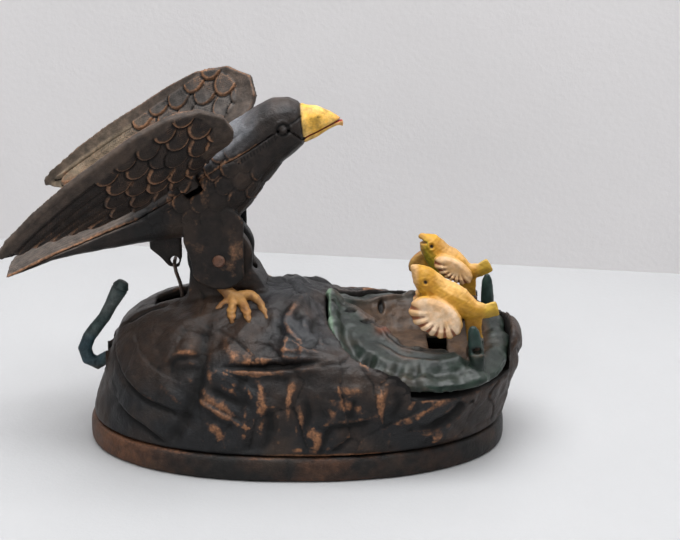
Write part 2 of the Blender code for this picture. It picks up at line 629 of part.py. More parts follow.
def make_wing(name, side):
    outer, inner = wing_rows(side)
    rings = [first + list(reversed(second)) for first, second in zip(outer, inner)]
    hinge = wing_point(side, 0)
    wing = put(name, loft(rings), FEATHER, hinge)
    join(wing, slanted_box(side, (-3.2, 3.2), (0, 8.0), (-1.6, 2.0)))
    join(wing, slanted_box(side, (-3.1, 3.1), (5.2, 7.9), (-1.2, 7.0)))
    join(wing, rod(wing_point(side, -WING_BARREL / 2), wing_point(side, WING_BARREL / 2), WING_BARREL_R, 14))
    cut(wing, rod(wing_point(side, -9), wing_point(side, 9), WING_PIN_R + GAP, 12))
    pin_name = name + "_pin"
    put(pin_name, rod(wing_point(side, -7.4), wing_point(side, 7.4), WING_PIN_R, 12), STEEL, hinge)


def make_push_rod():
    """The rod from the pedestal's fixed pin up into the bird, which works the wings."""
    start = Vector((LINK_PIN_X, 0, LINK_PIN_Z))
    end = Vector((-37.6, 0, 109.0))
    push = put("wing_push_rod", rod(start, end, 1.1, 10), STEEL, start)
    join(push, rod(start - Vector((0, 2, 0)), start + Vector((0, 2, 0)), 2.8, 16))
    join(push, rod(end - Vector((0, 4.4, 0)), end + Vector((0, 4.4, 0)), 1.2, 10))
    cut(push, rod(start - Vector((0, 5, 0)), start + Vector((0, 5, 0)), 1.2 + GAP, 12))


# ---------------------------------------------------------------- snake lever and its wires


SNAKE_SPINE = [
    (-72, 34, 2.4, 1.6), (-78.5, 32.4, 2.7, 1.8), (-82.6, 30.0, 3.0, 2.0), (-86.2, 31.8, 3.0, 2.2),
    (-87.6, 36.4, 2.9, 2.3), (-85.6, 41.4, 2.7, 2.3), (-82.2, 46.0, 2.6, 2.3), (-78.8, 50.4, 2.5, 2.3),
    (-76.2, 55.2, 2.6, 2.3), (-73.6, 60.0, 3.2, 2.6), (-71.6, 63.6, 3.5, 2.8), (-70.4, 65.8, 2.2, 1.8),
]


def make_snake_lever():
    pivot = (LEVER_X, 0, LEVER_Z)
    rings = []
    for i, (x, z, half, side) in enumerate(SNAKE_SPINE):
        before, after = SNAKE_SPINE[max(i - 1, 0)], SNAKE_SPINE[min(i + 1, len(SNAKE_SPINE) - 1)]
        run = Vector((after[0] - before[0], 0, after[1] - before[1])).normalized()
        across = Vector((run.z, 0, -run.x))
        turns = [2 * math.pi * k / 12 for k in range(12)]
        rings.append([tuple(Vector((x, 0, z)) + across * half * math.cos(t) + Vector((0,
                                                                                      side * math.sin(t), 0)))
                      for t in turns])
    lever = put("snake_lever", loft(rings), SNAKE, pivot)
    half = LEVER_THICK / 2
    join(lever, rod((LEVER_X, -half - 0.6, LEVER_Z), (LEVER_X, half + 0.6, LEVER_Z), 4.2, 20))
    arm = [(LEVER_X, 31), (ARM_END_X + 5.6, 31), (ARM_END_X + 5.6, 37), (LEVER_X, 37)]
    join(lever, prism(arm, -half, half))
    eye_x, eye_z = LEVER_X + HORN_FORWARD, LEVER_Z + HORN_UP
    horn = [(LEVER_X, LEVER_Z)] + [(LEVER_X + 6, LEVER_Z)] + circle_points(eye_x, eye_z, HORN_R, -20, 170, 10)
    join(lever, prism(horn, 0.2 - half, half - 0.2))
    cut(lever, rod((LEVER_X, -9, LEVER_Z), (LEVER_X, 9, LEVER_Z), LEVER_PIN_R + GAP, 16))
    cut(lever, box((ARM_END_X - 3.6, -5, 32.2), (ARM_END_X + 3.6, 5, 35.8)))
    cut(lever, box((-55.8, -5, 32.0), (-50.8, 5, 36.0)))
    cut(lever, rod((eye_x, -5, eye_z), (eye_x, 5, eye_z), 1.95, 12))
    pin = put("lever_pin", rod((LEVER_X, -6.4, LEVER_Z), (LEVER_X, 6.4, LEVER_Z), LEVER_PIN_R, 16), STEEL,
              pivot)
    join(pin, rod((LEVER_X, 5.9, LEVER_Z), (LEVER_X, 7.1, LEVER_Z), 2.8, 16))


def make_wires():
    side = LEVER_THICK / 2 + 1.3
    wire("tail_link", [
        (TAIL_EYE_X, 2.6, TAIL_EYE_Z), (TAIL_EYE_X, -1.2, TAIL_EYE_Z), (TAIL_EYE_X, -2.6, TAIL_EYE_Z - 1.0),
        (-48.6, -side, 71), (-47.0, -side, 66), (-46.4, -side, 61), (-46.2, -side, 48),
        (ARM_END_X, -side, 36),
        (ARM_END_X, -2.6, 34.2), (ARM_END_X, -1.2, 34), (ARM_END_X, 2.6, 34),
    ], WIRE_R, STEEL)
    lid_z = lid_height(-54)
    wire("bellows_link", [
        (-54, 2.6, 34), (-54, -1.2, 34), (-54, -side, 33), (-54, -side, lid_z + 4), (-54, -1.6, lid_z + 2.6),
        (-54, 0, lid_z + 2.0), (-54, 0, lid_z - 3.4),
    ], WIRE_R, STEEL)
    arm_z = ROD_Z - EAGLET_ARM
    eye_x, eye_z = LEVER_X + HORN_FORWARD, LEVER_Z + HORN_UP
    wire("eaglet_link", [
        (eye_x, -2.6, eye_z), (eye_x, 1.6, eye_z), (eye_x + 0.8, 3.2, eye_z), (eye_x + 4, 4.0, eye_z - 1),
        (0, 11.6, arm_z + 1.2), (45, 15.8, arm_z), (ROD_X - 3, EAGLET_ARM_Y - 2.9, arm_z),
        (ROD_X - 0.6, EAGLET_ARM_Y - 2.7, arm_z), (ROD_X, EAGLET_ARM_Y - 2.0, arm_z),
        (ROD_X, EAGLET_ARM_Y + 2.6, arm_z),
    ], 0.8, STEEL)


def make_lever_spring():
    """A coil spring under the lever's inner arm, standing on the base."""
    turns, radius, low, high = 5, 3.2, BASE_HEIGHT + 1.4, 30.2
    steps = turns * 10
    points = []
    for i in range(steps + 1):
        angle = 2 * math.pi * turns * i / steps
        points.append((SPRING_X + radius * math.cos(angle), radius * math.sin(angle),
                       low + (high - low) * i / steps))
    spring = wire("lever_spring", points, 0.6, STEEL)
    spring.data.bevel_resolution = 1


# ---------------------------------------------------------------- eaglets


# Eaglet sections from tail to beak: the middle in side view, half height and half width
NEAR_EAGLET = [
    ((80.6, 63.2), 3.2, 1.5), ((76.2, 61.8), 3.0, 1.8), ((71.0, 62.4), 4.0, 3.4), ((65.4, 65.0), 6.6, 5.8),
    ((60.0, 67.6), 7.2, 6.6), ((56.0, 70.6), 6.2, 5.8), ((53.2, 73.8), 5.6, 5.2), ((50.4, 76.9), 4.8, 4.4),
    ((47.8, 79.6), 2.4, 2.2), ((46.0, 80.9), 0.8, 0.9),
]
FAR_EAGLET = [
    ((80.2, 65.6), 3.2, 1.5), ((76.0, 63.2), 3.0, 1.6), ((71.4, 62.6), 3.6, 3.0), ((67.2, 64.0), 5.8, 5.4),
    ((62.6, 66.4), 7.0, 6.4), ((59.0, 69.4), 6.2, 5.8), ((56.6, 72.6), 5.6, 5.0), ((54.2, 75.6), 4.6, 4.2),
    ((52.2, 77.4), 2.4, 2.0), ((50.4, 78.6), 0.9, 0.9),
]
# Each eaglet's fan wings: the middle, half length, half width and tilt of the right and the left one
NEAR_FANS = [(55.9, 61.8, 11.5, 7.4, -32), (57.0, 63.0, 10.0, 7.0, -25)]
FAR_FANS = [(64.6, 66.0, 9.2, 4.6, -33), (55.4, 65.6, 10.0, 5.2, 30)]
# How far out from the body each layer of a fan lies, and its share of the full outline
FAN_LAYERS = [(4.6, 0.84), (6.2, 1.0), (7.8, 1.0), (8.8, 0.72)]


def make_eaglet(name, side, gape, spine, fans):
    """One eaglet: a lofted body with an open beak, fan wings, and a leg tab on the rod."""
    y = side * EAGLET_Y
    rings = []
    for i, ((x, z), tall, wide) in enumerate(spine):
        (ax, az), (bx, bz) = spine[max(i - 1, 0)][0], spine[min(i + 1, len(spine) - 1)][0]
        run = Vector((bx - ax, 0, bz - az)).normalized()
        across = Vector((-run.z, 0, run.x))
        turns = [2 * math.pi * k / 12 for k in range(12)]
        rings.append([tuple(Vector((x, y, z)) + across * tall * math.cos(t) + Vector((0,
                                                                                      wide * math.sin(t), 0)))
                      for t in turns])
    eaglet = put(name, loft(rings), CHICK, (ROD_X, 0, ROD_Z))
    for hand, shape in zip((-1, 1), fans):
        fan = [[(x, y + hand * w, z) for x, z in oval_side(reach, *shape)] for w, reach in FAN_LAYERS]
        join(eaglet, loft(fan))
    tab = [(68, 62), (67.6, 58), (ROD_X - 3.2, ROD_Z), (ROD_X, ROD_Z - 3.2), (ROD_X + 3.2, ROD_Z),
           (ROD_X + 2.4, 54), (74.6, 62)]
    join(eaglet, prism(tab, y - EAGLET_TAB / 2, y + EAGLET_TAB / 2))
    (tip_x, tip_z), (head_x, head_z) = spine[-1][0], spine[-3][0]
    mouth = [(tip_x - 3, tip_z - 0.4), (tip_x - 3, tip_z - 0.4 - gape), (head_x + 0.9, head_z + 0.2)]
    cut(eaglet, prism(mouth, y - 6, y + 6))
    cut(eaglet, rod((ROD_X, y - 5, ROD_Z), (ROD_X, y + 5, ROD_Z), ROD_R + GAP, 12))


def oval_side(reach, x, z, a, b, tilt):
    turn = math.radians(tilt)
    points = []
    for i in range(16):
        u, v = superellipse(2 * math.pi * i / 16, a * reach, b * reach, 2.2)
        points.append((x + u * math.cos(turn) - v * math.sin(turn),
                       z + u * math.sin(turn) + v * math.cos(turn)))
    return points


def make_eaglet_rod():
    pivot = (ROD_X, 0, ROD_Z)
    put("eaglet_rod", rod((ROD_X, -LUG_OUT - 1, ROD_Z), (ROD_X, LUG_OUT + 1, ROD_Z), ROD_R, 12), STEEL, pivot)
    low = ROD_Z - EAGLET_ARM
    outline = [(ROD_X - 3, low - 3), (ROD_X + 3, low - 3), (ROD_X + 3, ROD_Z + 3), (ROD_X - 3, ROD_Z + 3)]
    sides = (EAGLET_ARM_Y - ARM_THICK / 2, EAGLET_ARM_Y + ARM_THICK / 2)
    arm = put("eaglet_arm", prism(outline, *sides), STEEL, pivot)
    cut(arm, rod((ROD_X, 0, ROD_Z), (ROD_X, 40, ROD_Z), ROD_R + GAP, 12))
    cut(arm, rod((ROD_X, 0, low), (ROD_X, 40, low), 1.9, 12))


# ---------------------------------------------------------------- bellows


def lid_height(x):
    """Underside of the bellows lid above a place along it."""
    rise = (BELLOWS_HINGE_X - x) * math.tan(math.radians(BELLOWS_ANGLE))
    return BASE_HEIGHT + GAP + BOARD_THICK + 1.2 + rise


def make_bellows():
    left, right = BELLOWS_HINGE_X - BELLOWS_LENGTH, BELLOWS_HINGE_X
    low = BASE_HEIGHT + GAP
    top = low + BOARD_THICK
    board = put("bellows_board", box((left + 4, -BELLOWS_HALF, low), (right + 6, BELLOWS_HALF, top)), WOOD)
    cut(board, rod((right + 3.2, 0, low - 1), (right + 3.2, 0, top + 1), 1.6, 12))
    leather = [(right - 3, top + GAP), (right - 3, lid_height(right - 3) - GAP),
               (left + 6, lid_height(left + 6) - GAP),
               (left + 6, top + GAP)]
    put("bellows_leather", prism(leather, -BELLOWS_HALF + 1, BELLOWS_HALF - 1), LEATHER)
    lid = [(right - 0.4, lid_height(right - 0.4)), (left - 3, lid_height(left - 3)),
           (left - 3, lid_height(left - 3) + 2),
           (right - 0.4, lid_height(right - 0.4) + 2)]
    hinge = (right, 0, lid_height(right))
    cover = put("bellows_lid", prism(lid, -BELLOWS_HALF, BELLOWS_HALF), WOOD, hinge)
    cut(cover, box((-57.6, -3.6, 15), (-52.4, 1.8, 32)))
    whistle = put("bellows_whistle", rod((right + 3.2, 0, top + GAP), (right + 3.2, 0, top + 9), 3, 16),
                  BRASS)
    cut(whistle, rod((right + 3.2, 0, top - 1), (right + 3.2, 0, top + 6), 2.1, 16))
    cut(whistle, box((right + 4.2, -1.4, top + 4), (right + 9, 1.4, top + 5.2)))


make_base()
make_base_screws()
make_coin_trap()
make_rock()
make_nest()
make_eagle()
make_eagle_pins()
make_wing("near_wing", -1)
make_wing("far_wing", 1)
make_push_rod()
make_snake_lever()
make_wires()
make_lever_spring()
make_eaglet("near_eaglet", -1, 0.5, NEAR_EAGLET, NEAR_FANS)
make_eaglet("far_eaglet", 1, 3.4, FAR_EAGLET, FAR_FANS)
make_eaglet_rod()
make_bellows()
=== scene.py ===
"""Looks of the cast iron bank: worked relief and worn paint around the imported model."""

import math

import bmesh
import bpy
import numpy as np
from mathutils import Matrix, Vector


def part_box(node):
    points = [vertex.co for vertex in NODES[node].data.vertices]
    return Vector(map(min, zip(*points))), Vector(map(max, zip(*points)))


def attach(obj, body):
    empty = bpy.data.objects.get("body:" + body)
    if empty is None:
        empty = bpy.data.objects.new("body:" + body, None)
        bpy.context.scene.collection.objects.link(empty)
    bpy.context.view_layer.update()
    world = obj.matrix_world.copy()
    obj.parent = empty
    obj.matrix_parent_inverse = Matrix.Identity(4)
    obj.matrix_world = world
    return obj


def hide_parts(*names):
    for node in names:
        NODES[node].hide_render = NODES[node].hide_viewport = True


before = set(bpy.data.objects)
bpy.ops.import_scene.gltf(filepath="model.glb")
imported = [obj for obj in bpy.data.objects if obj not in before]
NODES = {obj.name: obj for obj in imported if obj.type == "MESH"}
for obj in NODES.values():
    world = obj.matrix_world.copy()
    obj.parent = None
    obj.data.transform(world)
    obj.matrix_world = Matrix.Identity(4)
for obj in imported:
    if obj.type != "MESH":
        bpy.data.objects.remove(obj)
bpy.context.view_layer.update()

# Everything is worked out in millimetres from the middle of the base, as the part is drawn
MM = 0.001
base_low, base_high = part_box("base_plate")
CENTRE_X = (base_low.x + base_high.x) / 2 / MM
COARSE = 1.0
MOST_TRIANGLES = 190000


# ---------------------------------------------------------------- numbers


def smoothstep(low, high, value):
    share = np.clip((value - low) / (high - low), 0, 1)
    return share * share * (3 - 2 * share)


def mix(a, b, share):
    share = np.asarray(share)[:, None]
    return np.asarray(a) * (1 - share) + np.asarray(b) * share


def bump(distance, width):
    return np.exp(-((distance / width) ** 2))


def lattice(cell, seed):
    """A repeatable random value from -1 to 1 for each whole-number cell."""
    x, y, z = (cell[:, k].astype(np.int64) for k in range(3))
    h = (x * 374761393 + y * 668265263 + z * 1274126177 + seed * 974711) & 0xFFFFFFFF
    h = ((h ^ (h >> 13)) * 1274126177) & 0xFFFFFFFF
    return ((h ^ (h >> 16)) & 0xFFFF) / 32767.5 - 1


def grain(points, size, seed):
    """Smooth noise with lumps of one size."""
    p = points / size
    cell = np.floor(p)
    f = p - cell
    f = f * f * (3 - 2 * f)
    total = np.zeros(len(p))
    for corner in range(8):
        step = np.array([corner & 1, corner >> 1 & 1, corner >> 2 & 1])
        weight = np.prod(np.where(step, f, 1 - f), axis=1)
        total += weight * lattice(cell + step, seed)
    return total


def grains(points, size, seed, octaves=3):
    total, strength = np.zeros(len(points)), 1.0
    for k in range(octaves):
        total += strength * grain(points + 31.7 * k, size / 2 ** k, seed + k)
        strength *= 0.5
    return total


def facets(points, size, seed):
    """How far a point is from the crack between the two nearest of a scatter of centres."""
    p = points / size
    cell = np.floor(p)
    first = np.full(len(p), 9.0)
    second = np.full(len(p), 9.0)
    value = np.zeros(len(p))
    for i in (-1, 0, 1):
        for j in (-1, 0, 1):
            for k in (-1, 0, 1):
                near = cell + np.array([i, j, k])
                centre = near + 0.5 + 0.42 * np.stack([lattice(near, seed + n) for n in range(3)], 1)
                d = np.linalg.norm(centre - p, axis=1)
                closer = d < first
                second = np.where(closer, first, np.minimum(second, d))
                value = np.where(closer, lattice(near, seed + 7), value)
                first = np.where(closer, d, first)
    return (second - first) * size, value


def smooth_line(points, steps=5):
    """A soft curve through a few points."""
    p = [np.array(q, float) for q in points]
    p = [2 * p[0] - p[1]] + p + [2 * p[-1] - p[-2]]
    line = []
    for a, b, c, d in zip(p, p[1:], p[2:], p[3:]):
        for k in range(steps):
            t = k / steps
            line.append(0.5 * (2 * b + (c - a) * t + (2 * a - 5 * b + 4 * c - d) * t * t
                               + (3 * b - a - 3 * c + d) * t ** 3))
    return line + [p[-2]]


# ---------------------------------------------------------------- relief worked into a node's shape


def applied(mesh, kind, **settings):
    """A new mesh with one modifier worked into it."""
    holder = bpy.data.objects.new("holder", mesh)
    bpy.context.scene.collection.objects.link(holder)
    modifier = holder.modifiers.new(kind, kind)
    for name, value in settings.items():
        setattr(modifier, name, value)
    graph = bpy.context.evaluated_depsgraph_get()
    result = bpy.data.meshes.new_from_object(holder.evaluated_get(graph))
    bpy.data.objects.remove(holder)
    return result


class Skin:
    """A node's shape as a fine even mesh, with its relief, wear and paint."""

    def __init__(self, node, voxel, smooth=3):
        self.node = node
        bm = bmesh.new()
        bm.from_mesh(NODES[node].data)
        bmesh.ops.remove_doubles(bm, verts=bm.verts, dist=1e-6)
        for v in bm.verts:
            v.co = v.co / MM - Vector((CENTRE_X, 0, 0))
        mesh = bpy.data.meshes.new(node)
        bm.to_mesh(mesh)
        bm.free()
        self.take(mesh, voxel)
        self.co = self.blur(self.co, smooth)

    def take(self, mesh, voxel):
        fine = applied(mesh, "REMESH", mode="VOXEL", voxel_size=voxel * COARSE)
        count = len(fine.vertices)
        co = np.zeros(count * 3)
        fine.vertices.foreach_get("co", co)
        self.co = co.reshape(-1, 3)
        edges = np.zeros(len(fine.edges) * 2, int)
        fine.edges.foreach_get("vertices", edges)
        self.edges = edges.reshape(-1, 2)
        self.quads = np.array([list(p.vertices) for p in fine.polygons if len(p.vertices) == 4])
        self.degree = np.bincount(self.edges.ravel(), minlength=count).clip(1)
        self.mesh = fine
        self.height = np.zeros(count)
        self.wear = np.zeros(count)
        self.grime_and_shade = np.zeros(count)
        self.gloss = np.zeros(count)
        self.paint = np.zeros((count, 3))

    def blur(self, values, times=1):
        flat = values if values.ndim == 2 else values[:, None]
        a, b = self.edges[:, 0], self.edges[:, 1]
        for _ in range(times):
            columns = []
            for k in range(flat.shape[1]):
                total = np.bincount(a, flat[b, k], len(flat)) + np.bincount(b, flat[a, k], len(flat))
                columns.append(0.5 * flat[:, k] + 0.5 * total / self.degree)
            flat = np.stack(columns, 1)
        return flat if values.ndim == 2 else flat[:, 0]

    def steady(self, times):
        """Evens out the drawn facets without thinning the shape."""
        for _ in range(times):
            soft = self.blur(self.co)
            self.co = soft + 1.04 * (soft - self.blur(soft))

    def normals(self):
        q = self.co[self.quads]
        n = np.cross(q[:, 2] - q[:, 0], q[:, 3] - q[:, 1])
        out = np.zeros_like(self.co)
        for k in range(4):
            for axis in range(3):
                out[:, axis] += np.bincount(self.quads[:, k], n[:, axis], len(out))
        return out / np.maximum(np.linalg.norm(out, axis=1), 1e-9)[:, None]

    def line(self, points, reach=11):
        """Distance to a curve on the skin, the place along it, and which side of it a point is on."""
        if not hasattr(self, "n"):
            self.n = self.normals()
        points = smooth_line(points)
        count = len(self.co)
        distance, along, side = np.full(count, 99.0), np.zeros(count), np.zeros(count)
        spans = [np.linalg.norm(b - a) for a, b in zip(points, points[1:])]
        low, high = np.min(points, 0) - reach, np.max(points, 0) + reach
        near = np.flatnonzero(np.all((self.co > low) & (self.co < high), axis=1))
        if len(near) == 0:
            return distance, along, side
        co, normal, run = self.co[near], self.n[near], 0.0
        best, place, hand = distance[near], along[near], side[near]
        for a, b, span in zip(points, points[1:], spans):
            d = b - a
            t = np.clip((co - a) @ d / max(span * span, 1e-9), 0, 1)
            off = co - (a + t[:, None] * d)
            far = np.linalg.norm(off, axis=1) > reach
            off = off - normal * np.sum(off * normal, 1)[:, None]
            dist = np.where(far, 99.0, np.linalg.norm(off, axis=1))
            closer = dist < best
            best = np.where(closer, dist, best)
            place = np.where(closer, (run + t * span) / sum(spans), place)
            hand = np.where(closer, np.sign(np.sum(np.cross(d, off) * normal, 1)), hand)
            run += span
        distance[near], along[near], side[near] = best, place, hand
        return distance, along, side

    def ridge(self, points, height, width, wear=0.0, grime_and_shade=0.0):
        distance, along, _ = self.line(points)
        ends = np.sin(math.pi * np.clip(along, 0.02, 0.98)) ** 0.4
        shape = bump(distance, width) * ends
        self.height += height * shape
        ragged = 0.62 + 0.55 * grains(self.co, 5.5, 17)
        self.wear += (wear * bump(distance, width * 0.85 * np.clip(ragged + 0.45, 0.5, 1.5)) * ends
                      * np.clip(ragged, 0.1, 1))
        # grime and painted shade: the curve's dark value darkens the paint along it
        self.grime_and_shade += grime_and_shade * shape

    def fold(self, points, height, wide, sharp=1.0, wear=0.0, grime_and_shade=0.5):
        """The cloth-like edge of a fold: it rises gently from the left and drops off sharply on the right."""
        distance, along, side = self.line(points)
        signed = distance * np.where(side >= 0, 1, -1)
        ends = np.sin(math.pi * np.clip(along, 0.02, 0.98)) ** 0.5
        rise = np.exp(-np.clip(signed, 0, None) / wide) * smoothstep(-sharp, 0.2, signed)
        hollow = bump(signed + sharp * 1.6, sharp * 1.3)
        near = distance < 60
        self.height += np.where(near, height * (rise - 0.6 * hollow) * ends, 0)
        self.wear += np.where(near, wear * bump(signed - 0.5, 1.1) * ends, 0)
        # grime and painted shade in the hollow at the foot of the drop
        self.grime_and_shade += np.where(near, grime_and_shade * hollow * ends, 0)

    def push(self, limit=(-3.0, 2.0)):
        if not hasattr(self, "n"):
            self.n = self.normals()
        self.co = self.co + self.n * np.clip(self.height, *limit)[:, None]
        self.height = np.zeros(len(self.co))
        self.n = self.normals()

    def hollows(self, times):
        """Above nought where the skin is hollow, below where it stands out, at one size of detail."""
        return np.sum((self.blur(self.co, times) - self.co) * self.normals(), 1)

    def finish(self, name, material, slot, body, *replaced):
        mesh = self.mesh
        co = (self.co + np.array([CENTRE_X, 0, 0])) * MM
        mesh.vertices.foreach_set("co", co.ravel())
        mesh.update()
        return dress(name, mesh, material, body, replaced, self)


def dress(name, mesh, material, body, replaced=(), skin=None):
    """Makes the visual piece from its final mesh."""
    if skin is not None:
        paint = np.ones((len(skin.co), 4))
        paint[:, :3] = np.clip(skin.paint, 0, 1)
        mesh.color_attributes.new("paint", "FLOAT_COLOR", "POINT").data.foreach_set("color", paint.ravel())
        state = np.ones((len(skin.co), 4))
        state[:, 0] = np.clip(skin.wear, 0, 1)
        state[:, 1] = np.clip(skin.grime_and_shade, 0, 1)
        state[:, 2] = np.clip(skin.gloss, 0, 1)
        mesh.color_attributes.new("state", "FLOAT_COLOR", "POINT").data.foreach_set("color", state.ravel())
        triangles = len(mesh.loops) - 2 * len(mesh.polygons)
        if triangles > MOST_TRIANGLES:
            mesh = applied(mesh, "DECIMATE", ratio=MOST_TRIANGLES / triangles)
    mesh.materials.clear()
    mesh.materials.append(material)
    mesh.shade_smooth()
    mesh.name = name
    piece = bpy.data.objects.new(name, mesh)
    bpy.context.scene.collection.objects.link(piece)
    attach(piece, body)
    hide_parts(*replaced)
    return piece


# ---------------------------------------------------------------- materials


class Nodes:
    """A short way to write a material's nodes."""

    def __init__(self, name):
        self.material = bpy.data.materials.new(name)
        self.material.use_nodes = True
        self.tree = self.material.node_tree
        self.shader = self.tree.nodes["Principled BSDF"]
        self.place = self.tree.nodes.new("ShaderNodeTexCoord").outputs["Object"]

    def link(self, value, socket):
        if isinstance(value, bpy.types.NodeSocket):
            self.tree.links.new(value, socket)
        else:
            socket.default_value = value

    def math(self, operation, a, b=0.0):
        node = self.tree.nodes.new("ShaderNodeMath")
        node.operation = operation
        self.link(a, node.inputs[0])
        self.link(b, node.inputs[1])
        return node.outputs[0]

    def noise(self, scale, detail=3.0, rough=0.55):
        node = self.tree.nodes.new("ShaderNodeTexNoise")
        self.link(self.place, node.inputs["Vector"])
        node.inputs["Scale"].default_value = scale
        node.inputs["Detail"].default_value = detail
        node.inputs["Roughness"].default_value = rough
        return node.outputs["Fac"]

    def between(self, value, low, high):
        node = self.tree.nodes.new("ShaderNodeMapRange")
        node.interpolation_type = "SMOOTHSTEP"
        self.link(value, node.inputs["Value"])
        node.inputs["From Min"].default_value = low
        node.inputs["From Max"].default_value = high
        return node.outputs[0]

    def mix(self, share, a, b, how="MIX"):
        node = self.tree.nodes.new("ShaderNodeMix")
        node.data_type = "RGBA"
        node.blend_type = how
        self.link(share, node.inputs[0])
        for value, socket in ((a, node.inputs[6]), (b, node.inputs[7])):
            self.link(value if isinstance(value, bpy.types.NodeSocket) else (*value, 1.0), socket)
        return node.outputs[2]

    def attribute(self, name):
        node = self.tree.nodes.new("ShaderNodeAttribute")
        node.attribute_name = name
        return node.outputs["Color"]

    def split(self, colour):
        node = self.tree.nodes.new("ShaderNodeSeparateColor")
        self.link(colour, node.inputs[0])
        return node.outputs

    def relief(self, height, depth, strength=1.0):
        node = self.tree.nodes.new("ShaderNodeBump")
        node.inputs["Distance"].default_value = depth
        node.inputs["Strength"].default_value = strength
        self.link(height, node.inputs["Height"])
        self.link(node.outputs[0], self.shader.inputs["Normal"])

    def set(self, **values):
        for name, value in values.items():
            self.link(value, self.shader.inputs[name.replace("_", " ")])


def aged_paint(name, bare, bare_dark, rough=(0.36, 0.6), chip=0.4, specular=0.25, coat=0.0, grit=1.0,
               mottle=1.0):
    """Old paint on cast iron: thin and worn through on what stands out, dusty black in what is hollow, which
    is partly dust and partly painted shade.
    """
    m = Nodes(name)
    wear, grime_and_shade, gloss = m.split(m.attribute("state"))[:3]
    fine, middle, broad = m.noise(900, 4, 0.6), m.noise(260, 5, 0.65), m.noise(60, 3)
    speck = m.noise(2200, 2, 0.5)
    low, high = [1 - 0.45 * mottle] * 3, [1 + 0.48 * mottle, 1 + 0.42 * mottle, 1 + 0.38 * mottle]
    shade = m.mix(m.between(middle, 0.3, 0.75), low, high)
    paint = m.mix(1.0, m.attribute("paint"), shade, "MULTIPLY")
    metal = m.mix(m.between(fine, 0.35, 0.7), bare_dark, bare)
    ragged = m.math("ADD", wear, m.math("MULTIPLY", m.math("SUBTRACT", middle, 0.5), chip * 1.5))
    ragged = m.math("ADD", ragged, m.math("MULTIPLY", m.math("SUBTRACT", fine, 0.5), chip))
    worn = m.between(ragged, 0.2, 1.1)
    colour = m.mix(worn, paint, metal)
    colour = m.mix(m.math("MULTIPLY", m.between(broad, 0.5, 0.72), 0.25), colour, (0.09, 0.055, 0.035))
    # grime and painted shade: the state attribute's second channel darkens the colour towards near black in
    # hollows, creases, dents and hidden faces
    grime_and_shade_amount = m.math("MULTIPLY", grime_and_shade, m.math("ADD", m.math("MULTIPLY", fine, 0.4), 0.72))
    colour = m.mix(m.between(grime_and_shade_amount, 0.0, 1.0), colour, (0.0028, 0.0025, 0.0024))
    m.set(Base_Color=colour, Metallic=m.math("MULTIPLY", worn, 0.2))
    dull = m.math("ADD", m.math("MULTIPLY", middle, rough[1] - rough[0]), rough[0])
    dull = m.math("ADD", dull, m.math("MULTIPLY", grime_and_shade, 0.25))
    m.set(Roughness=m.math("SUBTRACT", dull, m.math("MULTIPLY", gloss, 0.2)))
    m.shader.inputs["Specular IOR Level"].default_value = specular
    m.shader.inputs["Coat Weight"].default_value = coat
    m.shader.inputs["Coat Roughness"].default_value = 0.35
    height = m.math("ADD", m.math("MULTIPLY", fine, 0.6), m.math("MULTIPLY", speck, 0.4))
    height = m.math("SUBTRACT", height, m.math("MULTIPLY", worn, 0.15))
    m.relief(height, 0.00022 * grit)
    return m.material


COPPER, COPPER_DARK = (0.30, 0.135, 0.062), (0.14, 0.066, 0.034)
ROCK = aged_paint("aged_rock_paint", COPPER, COPPER_DARK, chip=0.6, specular=0.3, coat=0.03, grit=2.4)
FEATHERS = aged_paint("aged_feather_paint", (0.38, 0.19, 0.10), (0.19, 0.105, 0.062), rough=(0.4, 0.62),
                      chip=0.5, grit=1.9)
BASE = aged_paint("aged_base_paint", (0.16, 0.07, 0.035), (0.075, 0.036, 0.02), chip=0.7, grit=2.4)
LEAVES = aged_paint("aged_leaf_paint", (0.10, 0.068, 0.046), (0.05, 0.035, 0.026), rough=(0.3, 0.52),
                    chip=0.4, coat=0.08)
SNAKE = aged_paint("aged_snake_paint", (0.16, 0.12, 0.09), (0.08, 0.06, 0.05), rough=(0.42, 0.6), chip=0.6)
CHICK = aged_paint("aged_eaglet_paint", (0.30, 0.09, 0.035), (0.20, 0.06, 0.03), rough=(0.4, 0.6),
                   chip=0.3, grit=0.6, mottle=0.35)


def plain_metal(name, light, dark, rough, metallic=0.85, rust=0.5):
    """Small ironwork: dark, a little rusty, with lighter and darker flecks."""
    m = Nodes(name)
    fine, broad = m.noise(1400, 4, 0.6), m.noise(220, 3)
    colour = m.mix(m.between(fine, 0.35, 0.7), dark, light)
    rusty = m.math("MULTIPLY", m.between(broad, 0.45, 0.65), rust)
    colour = m.mix(rusty, colour, (0.13, 0.05, 0.025))
    m.set(Base_Color=colour, Metallic=m.math("MULTIPLY", m.math("SUBTRACT", 1.0, rusty), metallic))
    m.set(Roughness=m.math("ADD", m.math("MULTIPLY", fine, 0.25), rough))
    m.relief(fine, 0.0001)
    return m.material


IRONWORK = plain_metal("oxidised_ironwork", (0.16, 0.12, 0.10), (0.05, 0.038, 0.032), 0.38)
RUSTY_RIVET = plain_metal("rusty_rivet", (0.20, 0.11, 0.075), (0.09, 0.05, 0.035), 0.5, metallic=0.4,
                          rust=0.8)
BRASS = plain_metal("dull_brass", (0.52, 0.36, 0.13), (0.3, 0.2, 0.08), 0.3, rust=0.1)


def dry_wood():
    m = Nodes("dry_wood")
    wave = m.tree.nodes.new("ShaderNodeTexWave")
    m.link(m.place, wave.inputs["Vector"])
    wave.bands_direction = "Y"
    wave.inputs["Scale"].default_value = 160
    wave.inputs["Distortion"].default_value = 5
    wave.inputs["Detail"].default_value = 3
    colour = m.mix(wave.outputs["Fac"], (0.24, 0.13, 0.06), (0.38, 0.23, 0.11))
    m.set(Base_Color=colour, Roughness=m.math("ADD", m.math("MULTIPLY", m.noise(500), 0.2), 0.62))
    m.relief(wave.outputs["Fac"], 0.0001)
    return m.material


